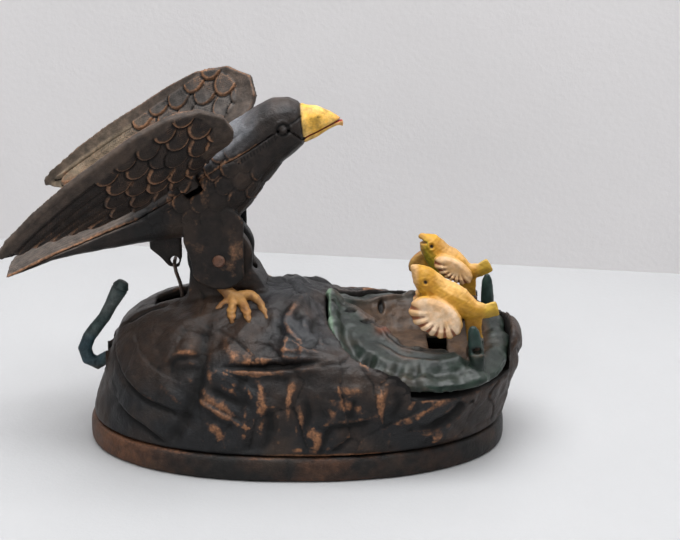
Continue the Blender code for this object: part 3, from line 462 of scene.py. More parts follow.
def old_leather():
    m = Nodes("old_leather")
    cells = m.tree.nodes.new("ShaderNodeTexVoronoi")
    m.link(m.place, cells.inputs["Vector"])
    cells.inputs["Scale"].default_value = 1300
    colour = m.mix(m.noise(240), (0.09, 0.04, 0.02), (0.2, 0.1, 0.055))
    m.set(Base_Color=colour, Roughness=m.math("ADD", m.math("MULTIPLY", m.noise(400), 0.2), 0.6))
    m.relief(cells.outputs["Distance"], 0.0001)
    return m.material


WOOD, LEATHER = dry_wood(), old_leather()


# ---------------------------------------------------------------- base plate


def make_base():
    skin = Skin("base_plate", 0.95, 2)
    co, n = skin.co, skin.normals()
    skin.height = 0.12 * grains(co, 14, 3)
    skin.push()
    rim = smoothstep(0.4, 0.9, np.hypot(n[:, 0] / 1.3, n[:, 1]))
    left = smoothstep(-34, -78, co[:, 0]) * smoothstep(20, -20, co[:, 1])
    rust = np.clip(left * 1.15 + 0.5 * smoothstep(0.25, 0.8, grains(co, 24, 9)) * rim, 0, 1)
    skin.paint = mix((0.010, 0.009, 0.0085), (0.10, 0.046, 0.025),
                     np.clip(rust + 0.25 * grains(co, 7, 5), 0, 1))
    edge = -skin.hollows(3)
    skin.wear = smoothstep(0.02, 0.16, edge) * (0.35 + 0.35 * grains(co, 12, 11)) + 0.35 * rust
    band = (co[:, 2] > 9.2) * smoothstep(0.35, 0.0, np.abs(grain(co, 30, 15) + 0.3))
    skin.wear += 0.4 * band
    # grime and painted shade: hollows are darkened
    skin.grime_and_shade = smoothstep(0.04, 0.3, skin.hollows(8)) * 0.6
    skin.finish("base_plate_cast", BASE, "base_iron", "bank", "base_plate")


# ---------------------------------------------------------------- rock

# Creases and worn ridges of the rock's near side, as curves on its skin: (points, height, width, wear)
ROCK_FOLDS = [
    (((-76, -13, 46), (-70, -21, 38), (-63, -30, 32), (-54, -36, 28), (-45, -40, 26)), 1.5, 9, 0.1),
    (((-52, -31, 42), (-50, -32, 44), (-46, -32, 47), (-38, -34, 48)), 1.0, 5, 0.9),
    (((-72, -26, 24), (-61, -35, 19), (-51, -41, 13)), 1.3, 8, 0.15),
    (((-25, -39, 43.6), (-15, -40, 43.6), (-7, -41, 44.4), (3, -42, 46), (12, -43, 47)), -0.9, 5, 0.0),
    (((-38, -41, 33), (-32, -43, 30), (-26, -45, 27), (-20, -47, 24)), -1.2, 5, 0.3),
    (((60, -35, 34), (64, -36, 32), (69, -35, 29)), 1.1, 6, 0.0),
    (((67, -37, 29), (58, -40, 22), (48, -44, 20)), 1.2, 7, 0.1),
    (((13, -49, 24), (17, -48, 25), (24, -48, 25), (31, -48, 27)), 0.9, 5, 0.1),
]
ROCK_RIDGES = [
    (((-53, -35, 36), (-50, -37, 33), (-44, -40, 28.5)), 1.3, 2.0, 1.0),
    (((-38, -41, 34), (-32, -43, 30.5), (-26, -45, 27.5), (-20, -47, 24)), 1.5, 2.0, 1.0),
    (((-33, -45, 22.5), (-30, -46, 20), (-28.5, -46, 16)), 0.9, 2.0, 1.0),
    (((-58, -27, 49), (-55, -27, 48), (-51, -25, 51)), 0.4, 1.4, 0.8),
    (((-10, -36, 49.6), (-1, -37, 50.6), (12, -39, 50.4)), 0.8, 1.1, 0.5),
    (((-14, -38, 47.2), (-2, -39, 48.4), (13, -42, 48.4)), 0.9, 0.9, 0.35),
    (((-26, -40, 42.2), (-15, -41, 42.6), (-7, -42, 43.2), (3, -43, 45)), 0.8, 1.1, 0.65),
    (((4, -5, 63), (0, -18, 61), (-4, -24, 59), (-3, -28, 56), (3, -35, 52), (6, -38, 50)), 1.2, 1.4, 0.55),
    (((3, -1, 64), (5, -19, 60), (5, -29, 56), (11, -35, 52)), 0.9, 1.3, 0.45),
    (((8, -8, 62), (8.5, -20, 58.5), (9, -30, 54), (12, -36, 51.5)), 0.8, 1.3, 0.2),
    (((-26, -28, 55), (-27, -32, 51), (-24, -36, 48), (-25, -39, 44)), 0.7, 1.8, 0.8),
    (((-20, -36, 49), (-17, -37, 48), (-18, -39, 45)), 0.6, 1.6, 0.9),
    (((0, -43, 42), (-2, -46, 33), (-2, -47, 26)), 1.0, 1.3, 0.9),
    (((-14, -42, 41), (-12, -44, 34), (-12, -46, 27)), 0.8, 1.4, 0.65),
    (((8, -46, 37), (12, -47, 33), (15, -48, 28), (13, -49, 21)), 1.2, 2.0, 1.0),
    (((6, -48, 22), (10, -49, 17), (8, -49, 11)), 1.0, 1.9, 1.0),
    (((17, -46, 38.5), (22, -47, 38), (28, -47, 38.5)), 1.0, 1.5, 0.7),
    (((18, -47, 35), (20, -48, 31), (27, -48, 30)), 0.7, 2.0, 0.75),
    (((36, -47, 40), (34, -48, 34), (33, -48, 28), (30, -48, 24)), 1.3, 1.8, 0.95),
    (((61, -40, 33), (56, -43, 30), (50, -45, 27), (43, -46, 23)), 1.7, 2.4, 1.0),
    (((44, -46, 36), (47, -46, 33), (45, -46, 29)), 0.7, 1.5, 0.5),
    (((32, -48, 18), (30, -48, 12)), 0.5, 1.3, 0.8),
    (((37, -48, 20), (38, -47, 13)), 0.5, 1.3, 0.7),
    (((55, -43, 18), (58, -42, 15), (56, -42, 12)), 0.5, 1.8, 0.7),
    (((-46, -42, 22), (-50, -41, 18), (-51, -41, 13)), 0.6, 1.6, 0.6),
    (((78, -20, 46), (84, -8, 44), (88, 2, 44)), 0.8, 1.6, 0.4),
    (((80, -24, 40), (77, -29, 30), (74, -32, 18)), 0.7, 2.4, 0.1),
]
ROCK_VALLEYS = [
    (((-34, -22, 58), (-36, -30, 52), (-37, -38, 44), (-38, -40, 36), (-41, -41, 28), (-46, -42, 18),
      (-50, -42, 11)),
     2.0, 2.4),
    (((-50, -34, 40), (-44, -36, 42), (-38, -37, 43)), 1.4, 2.4),
    (((-34, -41, 37), (-26, -43, 33), (-17, -45, 31)), 1.2, 1.8),
    (((-27, -39, 44.6), (-15, -40, 45), (-7, -41, 45.6), (3, -41, 47), (12, -42, 48.8)), 1.7, 0.9),
    (((-10, -46, 31), (-9, -47, 22), (-12, -48, 12)), 1.5, 2.0),
    (((1, -21, 59.5), (1.5, -25, 57.5)), 1.1, 1.8),
    (((7, -30, 55), (9, -20, 59)), 0.8, 1.2),
    (((15, -48, 24), (12, -49, 17), (10, -49, 11)), 1.3, 1.5),
    (((5, -45, 34), (6, -47, 27), (4, -48, 20)), 1.2, 1.6),
    (((24, -47, 35), (23, -48, 28), (24, -48, 24)), 0.8, 1.4),
    (((40, -46, 38), (41, -46, 31), (38, -47, 25)), 1.4, 2.2),
    (((67, -37, 29), (60, -39, 23), (50, -43, 20)), 1.2, 1.3),
    (((-70, -9, 53), (-62, -9, 55.5), (-52, -9, 57.5)), 1.5, 0.9),
    (((-20, -40, 40), (-21, -42, 36), (-18, -43, 33)), 0.9, 1.6),
]


def make_rock():
    skin = Skin("rock_casting", 0.72, 8)
    co, n = skin.co.copy(), skin.normals()
    x, y, z = co.T
    out = np.stack([x / 84, y / 50, (z - 12) / 55], 1)
    outer = smoothstep(0.05, 0.3, np.sum(n * out, 1) / np.linalg.norm(out, axis=1))
    pocket = ((np.abs(x - 49.5) / 37.8) ** 2.6 + (np.abs(y + 4) / 42.2) ** 2.6) < 1
    outer = np.where(pocket & (z > 33), 0, outer)
    pedestal = (np.abs(x + 28) < 16) & (np.abs(y) < 10.2) & (z > 66)
    work = outer * smoothstep(10.6, 14, z) * np.where(pedestal, 0.12, 1)
    turn = np.arctan2(y / 50, x / 84) * 68
    warped = np.stack([turn + 5 * grain(co, 22, 41), z * 0.34 + 3 * grain(co, 18, 43), np.sign(y) * 40], 1)
    drape = 1 - np.abs(grain(warped, 9, 45))
    middle = smoothstep(-60, -20, x)
    skin.height = (1.7 * grains(co, 30, 21) + 1.1 * grains(co, 11, 25)
                   + (0.5 + 0.9 * middle) * (drape - 0.6)) * (0.55 + 0.45 * middle)
    crack, block = facets(co * np.array([1, 1, 0.7]), 17, 51)
    skin.height += (-0.5 * bump(crack, 2.0) + 0.55 * block) * (0.35 + 0.65 * middle)
    # grime and painted shade in the cracks
    skin.grime_and_shade = 0.2 * bump(crack, 1.2) * middle
    for back in (False, True):
        place = (lambda p: (4 - p[0], -p[1], p[2])) if back else (lambda p: p)
        for points, height, wide, wear in ROCK_FOLDS:
            line = [place(p) for p in points]
            skin.fold(line, height * 1.5, wide, 1.2, wear * (0.6 if back else 1))
        for points, height, width, wear in ROCK_RIDGES:
            skin.ridge([place(p) for p in points], height * 1.25, width * 1.35, wear * (0.6 if back else 1))
        for points, depth, width in ROCK_VALLEYS[:-2] if back else ROCK_VALLEYS:
            skin.ridge([place(p) for p in points], -depth * 1.2, width * 1.15, 0, 0.8)
    skin.height *= work
    skin.wear *= work
    skin.grime_and_shade *= outer
    slot = np.linalg.norm((co - np.array([-8, -40.5, 45.4])) / np.array([3.4, 6, 1.0]), axis=1)
    skin.height -= 1.8 * smoothstep(1.15, 0.8, slot) * work
    hole = np.linalg.norm((co - np.array([69, -35, 29.5])) / np.array([1.0, 4, 0.9]), axis=1)
    skin.height -= 1.2 * smoothstep(1.2, 0.8, hole) * work
    skin.push((-3.8, 2.3))
    for middle_point, size in (((-25.5, -9.8, 69.5), (6.4, 3, 4.0)), ((-18.5, -9.8, 71), (4.5, 3, 4.6))):
        patch = np.linalg.norm((co - np.array(middle_point)) / np.array(size), axis=1)
        skin.wear += 0.55 * smoothstep(1.2, 0.6, patch)
    fine_edge, wide_edge = -skin.hollows(3), -skin.hollows(16)
    skin.wear += (work * smoothstep(0.05, 0.5, wide_edge) * smoothstep(0.0, 0.8, 0.3 + grains(co, 20, 61))
                  * 0.8)
    skin.wear += work * smoothstep(0.02, 0.1, fine_edge) * 0.25
    zone = smoothstep(-46, -30, x) * smoothstep(66, 52, x) * smoothstep(56, 48, z)
    zone = np.clip(zone + 0.35, 0, 1)
    skin.wear *= zone * np.clip(1.0 + 0.9 * grains(co, 8, 63), 0.15, 1.4)
    foot_line = smoothstep(12.3, 11.2, z) * smoothstep(-22, 2, x) * smoothstep(44, 26, x) * outer
    skin.wear += 0.9 * foot_line
    # grime and painted shade in the hollows of the outer faces
    skin.grime_and_shade += smoothstep(0.05, 0.45, skin.hollows(14)) * 0.75 * outer
    # painted shade: the slot and hole dents and the inside faces of the shell are painted dark
    skin.grime_and_shade += smoothstep(1.2, 0.8, slot) + smoothstep(1.2, 0.9, hole) + 0.8 * (1 - outer)
    # painted sheen: outer faces that face upwards, towards the middle of the rock, are painted a lighter
    # blue-grey as if lit from above
    up = smoothstep(0.35, 0.9, n[:, 2]) * outer
    brown = smoothstep(-0.4, 0.5, grains(co, 26, 71) + 0.5 * smoothstep(-30, -70, x)
                       + 0.5 * smoothstep(55, 75, x))
    skin.paint = mix((0.0075, 0.0078, 0.009), (0.026, 0.0150, 0.0098), brown)
    skin.paint = mix(skin.paint, (0.022, 0.024, 0.028), 0.75 * up * smoothstep(-30, -5, x)
                     * smoothstep(-0.6, 0.6, grain(co, 15, 75)))
    skin.gloss = up * 0.6
    skin.finish("rock_cast", ROCK, "rock_iron", "bank", "rock_casting")


# ---------------------------------------------------------------- eagle's foot, in relief on the rock


def capsules(name, chains, voxel, smooth):
    """One closed form grown around chains of balls: (x, y, z, radius)."""
    bm = bmesh.new()
    for chain in chains:
        line = smooth_line(chain, 6)
        for a, b in zip(line, line[1:]):
            start, end = Vector(a[:3]), Vector(b[:3])
            middle = (start + end) / 2
            turn = (end - start).to_track_quat("Z", "Y").to_matrix().to_4x4()
            bmesh.ops.create_cone(bm, cap_ends=True, segments=16, radius1=a[3], radius2=b[3],
                                  depth=(end - start).length, matrix=Matrix.Translation(middle) @ turn)
        for p in line:
            bmesh.ops.create_icosphere(bm, subdivisions=2, radius=p[3],
                                       matrix=Matrix.Translation(Vector(p[:3])))
    mesh = bpy.data.meshes.new(name)
    bm.to_mesh(mesh)
    bm.free()
    skin = Skin.__new__(Skin)
    skin.node = name
    skin.take(mesh, voxel)
    skin.co = skin.blur(skin.co, smooth)
    return skin


FOOT_CHAINS = [
    [(-34, -9.6, 72.6, 3.0), (-31, -10.2, 69.5, 2.7), (-28.5, -10.8, 66.6, 2.4), (-25.5, -12, 64.2, 2.9),
     (-23.5, -13, 63, 2.8)],
    [(-25.5, -12.4, 63.6, 2.3), (-28, -14, 62, 1.6), (-30.2, -16, 61, 1.3), (-31.6, -17.6, 60.2, 0.7)],
    [(-24.6, -13, 63.2, 2.4), (-25.2, -16.5, 61.4, 1.9), (-25.4, -20, 59.8, 1.8), (-24.9, -23.4, 57.6, 1.0)],
    [(-23, -13, 63.4, 2.4), (-20.6, -16.8, 62, 1.9), (-19.2, -20.6, 60.2, 1.8), (-18.2, -24.6, 58, 1.0)],
    [(-22.4, -12, 64, 2.4), (-18, -11.6, 64.4, 2.0), (-15, -13.8, 62.9, 1.8), (-12.8, -18, 61, 1.4),
     (-11, -22.6, 58.6, 0.7)],
]


def make_foot(side):
    chains = [[(x, y * side, z, r) for x, y, z, r in chain] for chain in FOOT_CHAINS]
    skin = capsules("foot", chains, 0.32, 6)
    co = skin.co
    toes = smoothstep(63.5, 61.5, co[:, 2])
    skin.height = 0.16 * toes * np.cos(co[:, 2] * 2 * math.pi / 1.9) + 0.15 * grains(co, 2.2, 5)
    skin.push()
    skin.paint = mix((0.40, 0.21, 0.065), (0.27, 0.125, 0.04), np.clip(0.5 + grains(co, 5, 8), 0, 1))
    skin.wear = 0.3 + 0.45 * smoothstep(0.0, 0.6, grains(co, 3.5, 12))
    # grime and painted shade: hollows are darkened
    skin.grime_and_shade = smoothstep(0.02, 0.16, skin.hollows(8)) * 0.8
    name = "near_foot" if side > 0 else "far_foot"
    skin.finish(name, FOOT, "rock_iron", "bank")


FOOT = aged_paint("aged_foot_paint", (0.24, 0.12, 0.05), (0.12, 0.06, 0.03), rough=(0.42, 0.6), chip=0.5,
                  grit=0.7, mottle=0.6)


# ---------------------------------------------------------------- feathers


def plumage(u, v, feathers, barb=1.2):
    """Overlapping feathers laid on a flat chart.

    Each is (tip u, tip v, angle, half width, length, tip length), and the first ones lie on top.
    Gives height, worn rim, groove and a value of its own for each feather.
    """
    height, rim = np.zeros(len(u)), np.zeros(len(u))
    groove, own = np.zeros(len(u)), np.zeros(len(u))
    for number, (fu, fv, angle, half, length, tip) in reversed(list(enumerate(feathers))):
        c, s = math.cos(angle), math.sin(angle)
        a = (u - fu) * c + (v - fv) * s + tip
        b = -(u - fu) * s + (v - fv) * c
        inside = 1 - np.sqrt((np.clip(a, 0, None) / tip) ** 2 + (b / half) ** 2)
        edge = inside * half
        cover = (edge > 0) & (a > -length)
        shadow = (edge > -0.9) & (a > 0) & ~cover
        groove = np.where(shadow, np.maximum(groove, smoothstep(-0.9, -0.1, edge)), groove)
        height = np.where(shadow, height - 0.3 * smoothstep(-0.9, -0.1, edge), height)
        share = np.clip((a + length) / length, 0, 1.2)
        shape = smoothstep(0, 0.9, edge) * (0.2 + 0.9 * share) + 0.25 * (1 - (b / half) ** 2)
        lines = np.cos((a + np.abs(b) * 1.1) * 2 * math.pi / barb)
        shape = shape + 0.16 * bump(b, 0.4) + 0.13 * lines * smoothstep(0.5, 1.2, edge)
        rolled = smoothstep(1.7, 0.6, edge) * smoothstep(-0.1, 0.3, edge) * smoothstep(-half, 0.2 * half, a)
        shape = shape + 0.22 * rolled
        height = np.where(cover, shape, height)
        rim = np.where(cover, rolled, rim)
        groove = np.where(cover, 0.5 * smoothstep(-0.2, -1, lines) * smoothstep(0.8, 1.5, edge), groove)
        own = np.where(cover, math.sin(number * 12.9898) * 0.5 + 0.5, own)
    return height, rim, groove, own


# The wing's chart: u runs back from its shoulder, v up towards its leading edge
WING_SHOULDER = np.array([-25.0, 0.0, 131.0])
WING_BACK = np.array([-0.866, 0.0, -0.5])
WING_UP = np.array([-0.41, 0.574, 0.71])
LEADING_V = 41.0


def wing_feathers():
    laid = []
    for row, (v, half, last) in enumerate(((34.5, 4.7, 52), (27.0, 4.9, 56), (19.4, 4.9, 58),
                                           (11.8, 4.7, 56), (5.4, 4.4, 54))):
        u = 4.5 + (row % 2) * 4.6 - (2.5 if row == 0 else 0)
        while u < last:
            droop = -0.35 - 0.35 * (1 - u / 60)
            laid.append((u, v - 2.2 - 1.5 * math.sin(u * 0.9 + row), droop, half, 9.5, half * 1.3))
            u += half * 1.98
    laid.sort(key=lambda f: f[0] - f[1] * 0.9)
    for k, (u, v) in enumerate(((92.5, 36.2), (89.5, 30.6), (84.5, 25.2), (79.0, 19.8), (73.0, 14.6),
                                (66.5, 9.6))):
        laid.append((u, v, -0.02 - 0.015 * k, 3.4, 46, 7))
    return laid


WING_FEATHERS = wing_feathers()


def make_wing(name, side):
    skin = Skin(name, 0.42, 3)
    skin.steady(60)
    co, n = skin.co.copy(), skin.normals()
    flat = co * np.array([1, side, 1])
    if side > 0:
        flat = flat - np.array([6.6, 0.4, 0.6])
    u = (flat - WING_SHOULDER) @ WING_BACK
    v = (flat - WING_SHOULDER) @ WING_UP
    outward = n[:, 1] * side
    barrel = (np.abs(flat[:, 1]) < 13.6) & (u > 4) & (u < 24)
    face = smoothstep(0.25, 0.6, np.abs(outward)) * np.where(barrel, 0, 1)
    outside = smoothstep(-0.2, 0.2, outward)
    height, rim, groove, own = plumage(u, v, WING_FEATHERS)
    lead = np.where(u < 12, np.hypot(u - 12, (v - 26)) - 14, v - (LEADING_V - 1.5 - 0.02 * u))
    band = smoothstep(-3.6, -2.2, lead)
    strength = np.where(outside > 0.5, 1.05, 1.2)
    skin.height = face * (height * strength * (1 - band) + 0.9 * band - 0.45) + 0.1 * grains(co, 5, 31)
    skin.push((-1.1, 1.1))
    edge = -skin.hollows(4)
    tip = smoothstep(66, 92, u)
    crisp = 1.15 - 0.5 * outside
    skin.wear = (face * (rim + 0.3 * (1 - groove) * smoothstep(0.3, 0.8, own)) * (1 - band) * crisp
                 * (0.7 + 0.4 * own))
    skin.wear += smoothstep(0.03, 0.14, edge) * (0.22 + 0.3 * (1 - outside))
    skin.wear += (1 - outside) * 0.5 * tip * smoothstep(12, 4, v - 24) + 0.2 * band * (1 - outside)
    skin.wear *= smoothstep(-1.3, 0.2, grains(co, 16, 35))
    # grime and painted shade in the grooves between feathers and in hollows
    skin.grime_and_shade = face * groove * (1 - band) * 0.75 + smoothstep(0.03, 0.2, skin.hollows(6)) * 0.5
    blue = np.clip(0.5 + 0.5 * grains(co, 9, 38), 0, 1)
    inner = mix((0.085, 0.076, 0.070), (0.21, 0.165, 0.115), smoothstep(38, 58, u))
    # painted shade: the outer faces, which are the wings' undersides, take a near-black copy of the paint,
    # far darker than the inner faces
    outer = mix((0.012, 0.0095, 0.0088), (0.034, 0.0235, 0.0185), blue)
    skin.paint = mix(inner * (0.7 + 0.6 * blue[:, None]), outer, outside)
    skin.paint = mix(skin.paint, (0.062, 0.046, 0.036), band * 0.8)
    body = name
    skin.finish(name + "_cast", FEATHERS, "feather_iron", body, name)


# The seam between the eagle's two castings, in side view
SEAM = [(-122, 69.0), (-113, 72.4), (-96, 81.2), (-63, 95.6), (-47, 105.5), (-37, 113.0), (-27.5, 119.5),
        (-18, 124.5), (-8, 131.0), (-4, 133.2), (0, 130.6), (3, 127.6), (9, 130.2), (16.5, 134.0),
        (24, 137.0)]
# The middle of the body in side view, from tail to beak
SPINE = [(-116, 71.6), (-97, 80.5), (-77, 87.2), (-60, 92.7), (-48, 97.7), (-38, 103.7), (-29.5, 109.7),
         (-22.8, 115.5), (-16.6, 122.5), (-9.8, 128.7), (-4, 132.7), (0.8, 134.1), (5, 133.2), (19, 132.5)]


def body_chart(co):
    """Distance along the body from its tail, and distance round it from its back."""
    spine = np.array(SPINE, float)
    x, y, z = co.T
    best, along, turn = np.full(len(co), 1e9), np.zeros(len(co)), np.zeros(len(co))
    run = 0.0
    for (ax, az), (bx, bz) in zip(spine, spine[1:]):
        dx, dz = bx - ax, bz - az
        span = math.hypot(dx, dz)
        t = np.clip(((x - ax) * dx + (z - az) * dz) / span ** 2, 0, 1)
        px, pz = x - ax - t * dx, z - az - t * dz
        d = np.hypot(px, pz)
        rise = (dx * pz - dz * px) / span
        closer = d < best
        best = np.where(closer, d, best)
        along = np.where(closer, run + t * span, along)
        turn = np.where(closer, np.arctan2(y, rise), turn)
        run += span
    return along, turn


def seam_height(x):
    table = np.array(SEAM)
    return np.interp(x, table[:, 0], table[:, 1])


def eagle_feathers():
    """Rows of small soft feathers round the body, each row overlapped by the one nearer the head."""
    laid = []
    for row in range(13):
        u = 106 - row * 6.2
        for k in range(-7, 8):
            laid.append((u, k * 6.6 + (row % 2) * 3.3, math.pi, 3.8, 8, 3.8))
    return laid


BODY_FEATHERS = eagle_feathers()


def make_eagle_casting(node, is_back):
    skin = Skin(node, 0.5, 6)
    skin.steady(50)
    co, n = skin.co.copy(), skin.normals()
    x, y, z = co.T
    along, turn = body_chart(co)
    around = turn * 12.5
    thigh = (np.abs(y) > 9.6) & (x > -45) & (x < -19) & (z < 97)
    outward = smoothstep(0.1, 0.5, np.abs(n[:, 1]) * np.sign(y * n[:, 1])
                         + np.where(np.abs(y) < 6, np.abs(n[:, 2]), 0))
    head = smoothstep(-24, -17, x) * smoothstep(116, 121, z)
    tail = smoothstep(-62, -70, x)
    height, rim, groove, _ = plumage(along, around, BODY_FEATHERS, 1.6)
    soft = (1 - head) * (1 - tail) * smoothstep(88, 96, z) * outward
    soft = soft * np.where(thigh, smoothstep(90, 98, z), 1)
    patch = smoothstep(-0.15, 0.5, grains(co, 17, 81))
    skin.height = soft * (0.35 + 0.65 * patch) * (height - 0.4) * 0.75
    ribs = np.cos(y * 2 * math.pi / 1.7)
    flat_tail = tail * smoothstep(0.5, 0.8, n[:, 2])
    skin.height += flat_tail * 0.16 * ribs + 0.14 * grains(co, 8, 83) + 0.07 * grains(co, 2.6, 85)
    below = seam_height(x) - z
    ticks = (x > -22) & (x < -7) & (np.abs(y) > 5)
    stroke = (bump((np.mod(x + 0.4 * z, 1.5) - 0.75), 0.32) * smoothstep(0.5, 0.9, below)
              * smoothstep(3.6, 2.6, below))
    if not is_back:
        skin.height -= 0.45 * np.where(ticks, stroke, 0)
    eye_x, eye_z, eye_y = -4.4, 132.6, 9.2
    eye = np.sqrt((x - eye_x) ** 2 + (z - eye_z) ** 2 + (0.4 * (np.abs(y) - eye_y)) ** 2)
    skin.height += 0.9 * smoothstep(1.7, 0.6, eye) - 0.6 * bump(eye - 2.3, 0.5) + 0.35 * bump(eye - 3.2, 0.6)
    brow = np.abs((z - 134.6) - (x + 2) * 0.55)
    on_brow = (x > -3.5) & (x < 4.2)
    skin.height -= 0.5 * bump(brow, 0.5) * on_brow
    beak_edge = x - 3.3 + 0.12 * (z - 133)
    beak = smoothstep(-0.2, 0.2, beak_edge)
    skin.height = skin.height * (1 - 0.85 * beak) - 0.5 * bump(beak_edge + 0.3, 0.5)
    nostril = np.hypot((x - 9.5) / 1.1, (z - 136.4) / 0.35)
    skin.height -= 0.25 * smoothstep(1.2, 0.6, nostril)
    skin.push((-1.0, 1.0))
    edge, deep = -skin.hollows(4), skin.hollows(6)
    skin.wear = soft * rim * patch * 0.5 + smoothstep(0.03, 0.15, edge) * 0.3 * (1 - head)
    streak = smoothstep(0.1, 0.9, grains(co * np.array([1, 1, 0.25]), 5, 87))
    skin.wear += 0.35 * streak * np.where(thigh, 1, 0.5) * (1 - head)
    skin.wear += 0.3 * smoothstep(0.2, 0.9, grains(co, 7, 89)) * (1 - head) * (1 - tail)
    if is_back:
        skin.wear += (0.8 * smoothstep(1.4, 0.4, z - seam_height(x)) * smoothstep(-37, -31, x)
                      * smoothstep(-13, -17, x))
        skin.wear += 0.75 * smoothstep(1.3, 0.4, np.abs(z - seam_height(x) - 0.5)) * tail
        skin.wear += (0.35 * smoothstep(-18, -12, x) * smoothstep(-3, -9, x)
                      * smoothstep(0.2, 0.7, grains(co, 6, 91)))
    # grime and painted shade in feather grooves, hollows, the eye ring, brow and neck ticks; faces turned
    # inward, inside the hollow castings, are painted dark as painted shade
    skin.grime_and_shade = (soft * groove * 0.35 + smoothstep(0.03, 0.2, deep) * 0.6
                 + 0.9 * (1 - np.clip(outward + flat_tail + head, 0, 1)) * (1 - tail))
    skin.grime_and_shade += (bump(eye - 2.3, 0.5) + 0.8 * bump(brow, 0.5) * on_brow + (0 if is_back else 1) * 0.8
                  * np.where(ticks, stroke, 0))
    warm = np.clip(0.5 + 0.6 * grains(co, 12, 93), 0, 1)
    skin.paint = mix((0.0095, 0.0088, 0.0088), (0.020, 0.0145, 0.012), warm)
    nape = smoothstep(0.2, 0.8, n[:, 2]) * smoothstep(-46, -36, x) * smoothstep(-13, -19, x)
    # painted highlight: upward-facing faces of the nape on the back casting are painted a pale blue-grey, as
    # if lit by the sky from above
    skin.paint = mix(skin.paint, (0.17, 0.18, 0.20), nape * 0.9 * (1 if is_back else 0))
    # painted light: the tail's upward-facing top is painted pale grey-brown as if lit from above
    skin.paint = mix(skin.paint, (0.10, 0.082, 0.070), flat_tail * 0.85)
    # painted highlight: the head's upward-facing crown is painted lighter
    crown_highlight = smoothstep(0.3, 0.9, n[:, 2]) * head
    skin.paint = mix(skin.paint, (0.030, 0.029, 0.031), crown_highlight * 0.7)
    mouth = (beak * smoothstep(0.55, 0.8, (n[:, 2] if not is_back else -n[:, 2]))
             * (np.abs(z - seam_height(x)) < 1.2))
    yellow = mix((0.66, 0.38, 0.06), (0.68, 0.44, 0.13), np.clip(0.5 + grains(co, 4, 95), 0, 1))
    yellow = mix(yellow, (0.52, 0.22, 0.10), smoothstep(14.5, 19, x) * 0.7 * smoothstep(130, 135, z))
    yellow = mix(yellow, (0.30, 0.02, 0.012), mouth)
    skin.paint = mix(skin.paint, (0.010, 0.009, 0.009), bump(beak_edge + 0.3, 0.7))
    skin.paint = mix(skin.paint, yellow, beak)
    skin.wear = np.where(beak > 0.5, 0.12 + 0.25 * smoothstep(0.3, 0.9, grains(co, 3, 97)), skin.wear)
    # grime and painted shade in the beak's hollows and nostril
    skin.grime_and_shade = np.where(beak > 0.5, 0.4 * smoothstep(0.05, 0.2, deep)
                         + 0.4 * smoothstep(1.2, 0.7, nostril), skin.grime_and_shade)
    skin.gloss = np.clip(head * 0.5 + nape * 0.3, 0, 1)
    skin.finish(node + "_cast", FEATHERS, "feather_iron", "eagle", node)


# ---------------------------------------------------------------- nest

TWIG_LINES = [
    (((13, 5, 61), (21, 2, 57), (30, -5, 53), (36, -14, 50), (42, -21, 48), (50, -25, 47), (60, -26, 47),
      (66, -30, 47)), 1.6, 1.8),
    (((18, 0, 58), (27, -5, 54), (33, -14, 51), (40, -23, 48), (50, -28, 46), (62, -30, 46)), 1.0, 1.1),
    (((18, 12, 56), (26, 20, 51), (38, 28, 50), (54, 31, 50), (68, 28, 50)), 1.4, 1.8),
    (((24, 2, 56), (33, -6, 51), (39, -15, 48), (46, -21, 47), (58, -24, 47)), 0.8, 1.0),
    (((34, -24, 48), (44, -31, 46), (56, -34, 45)), 0.8, 1.2),
]


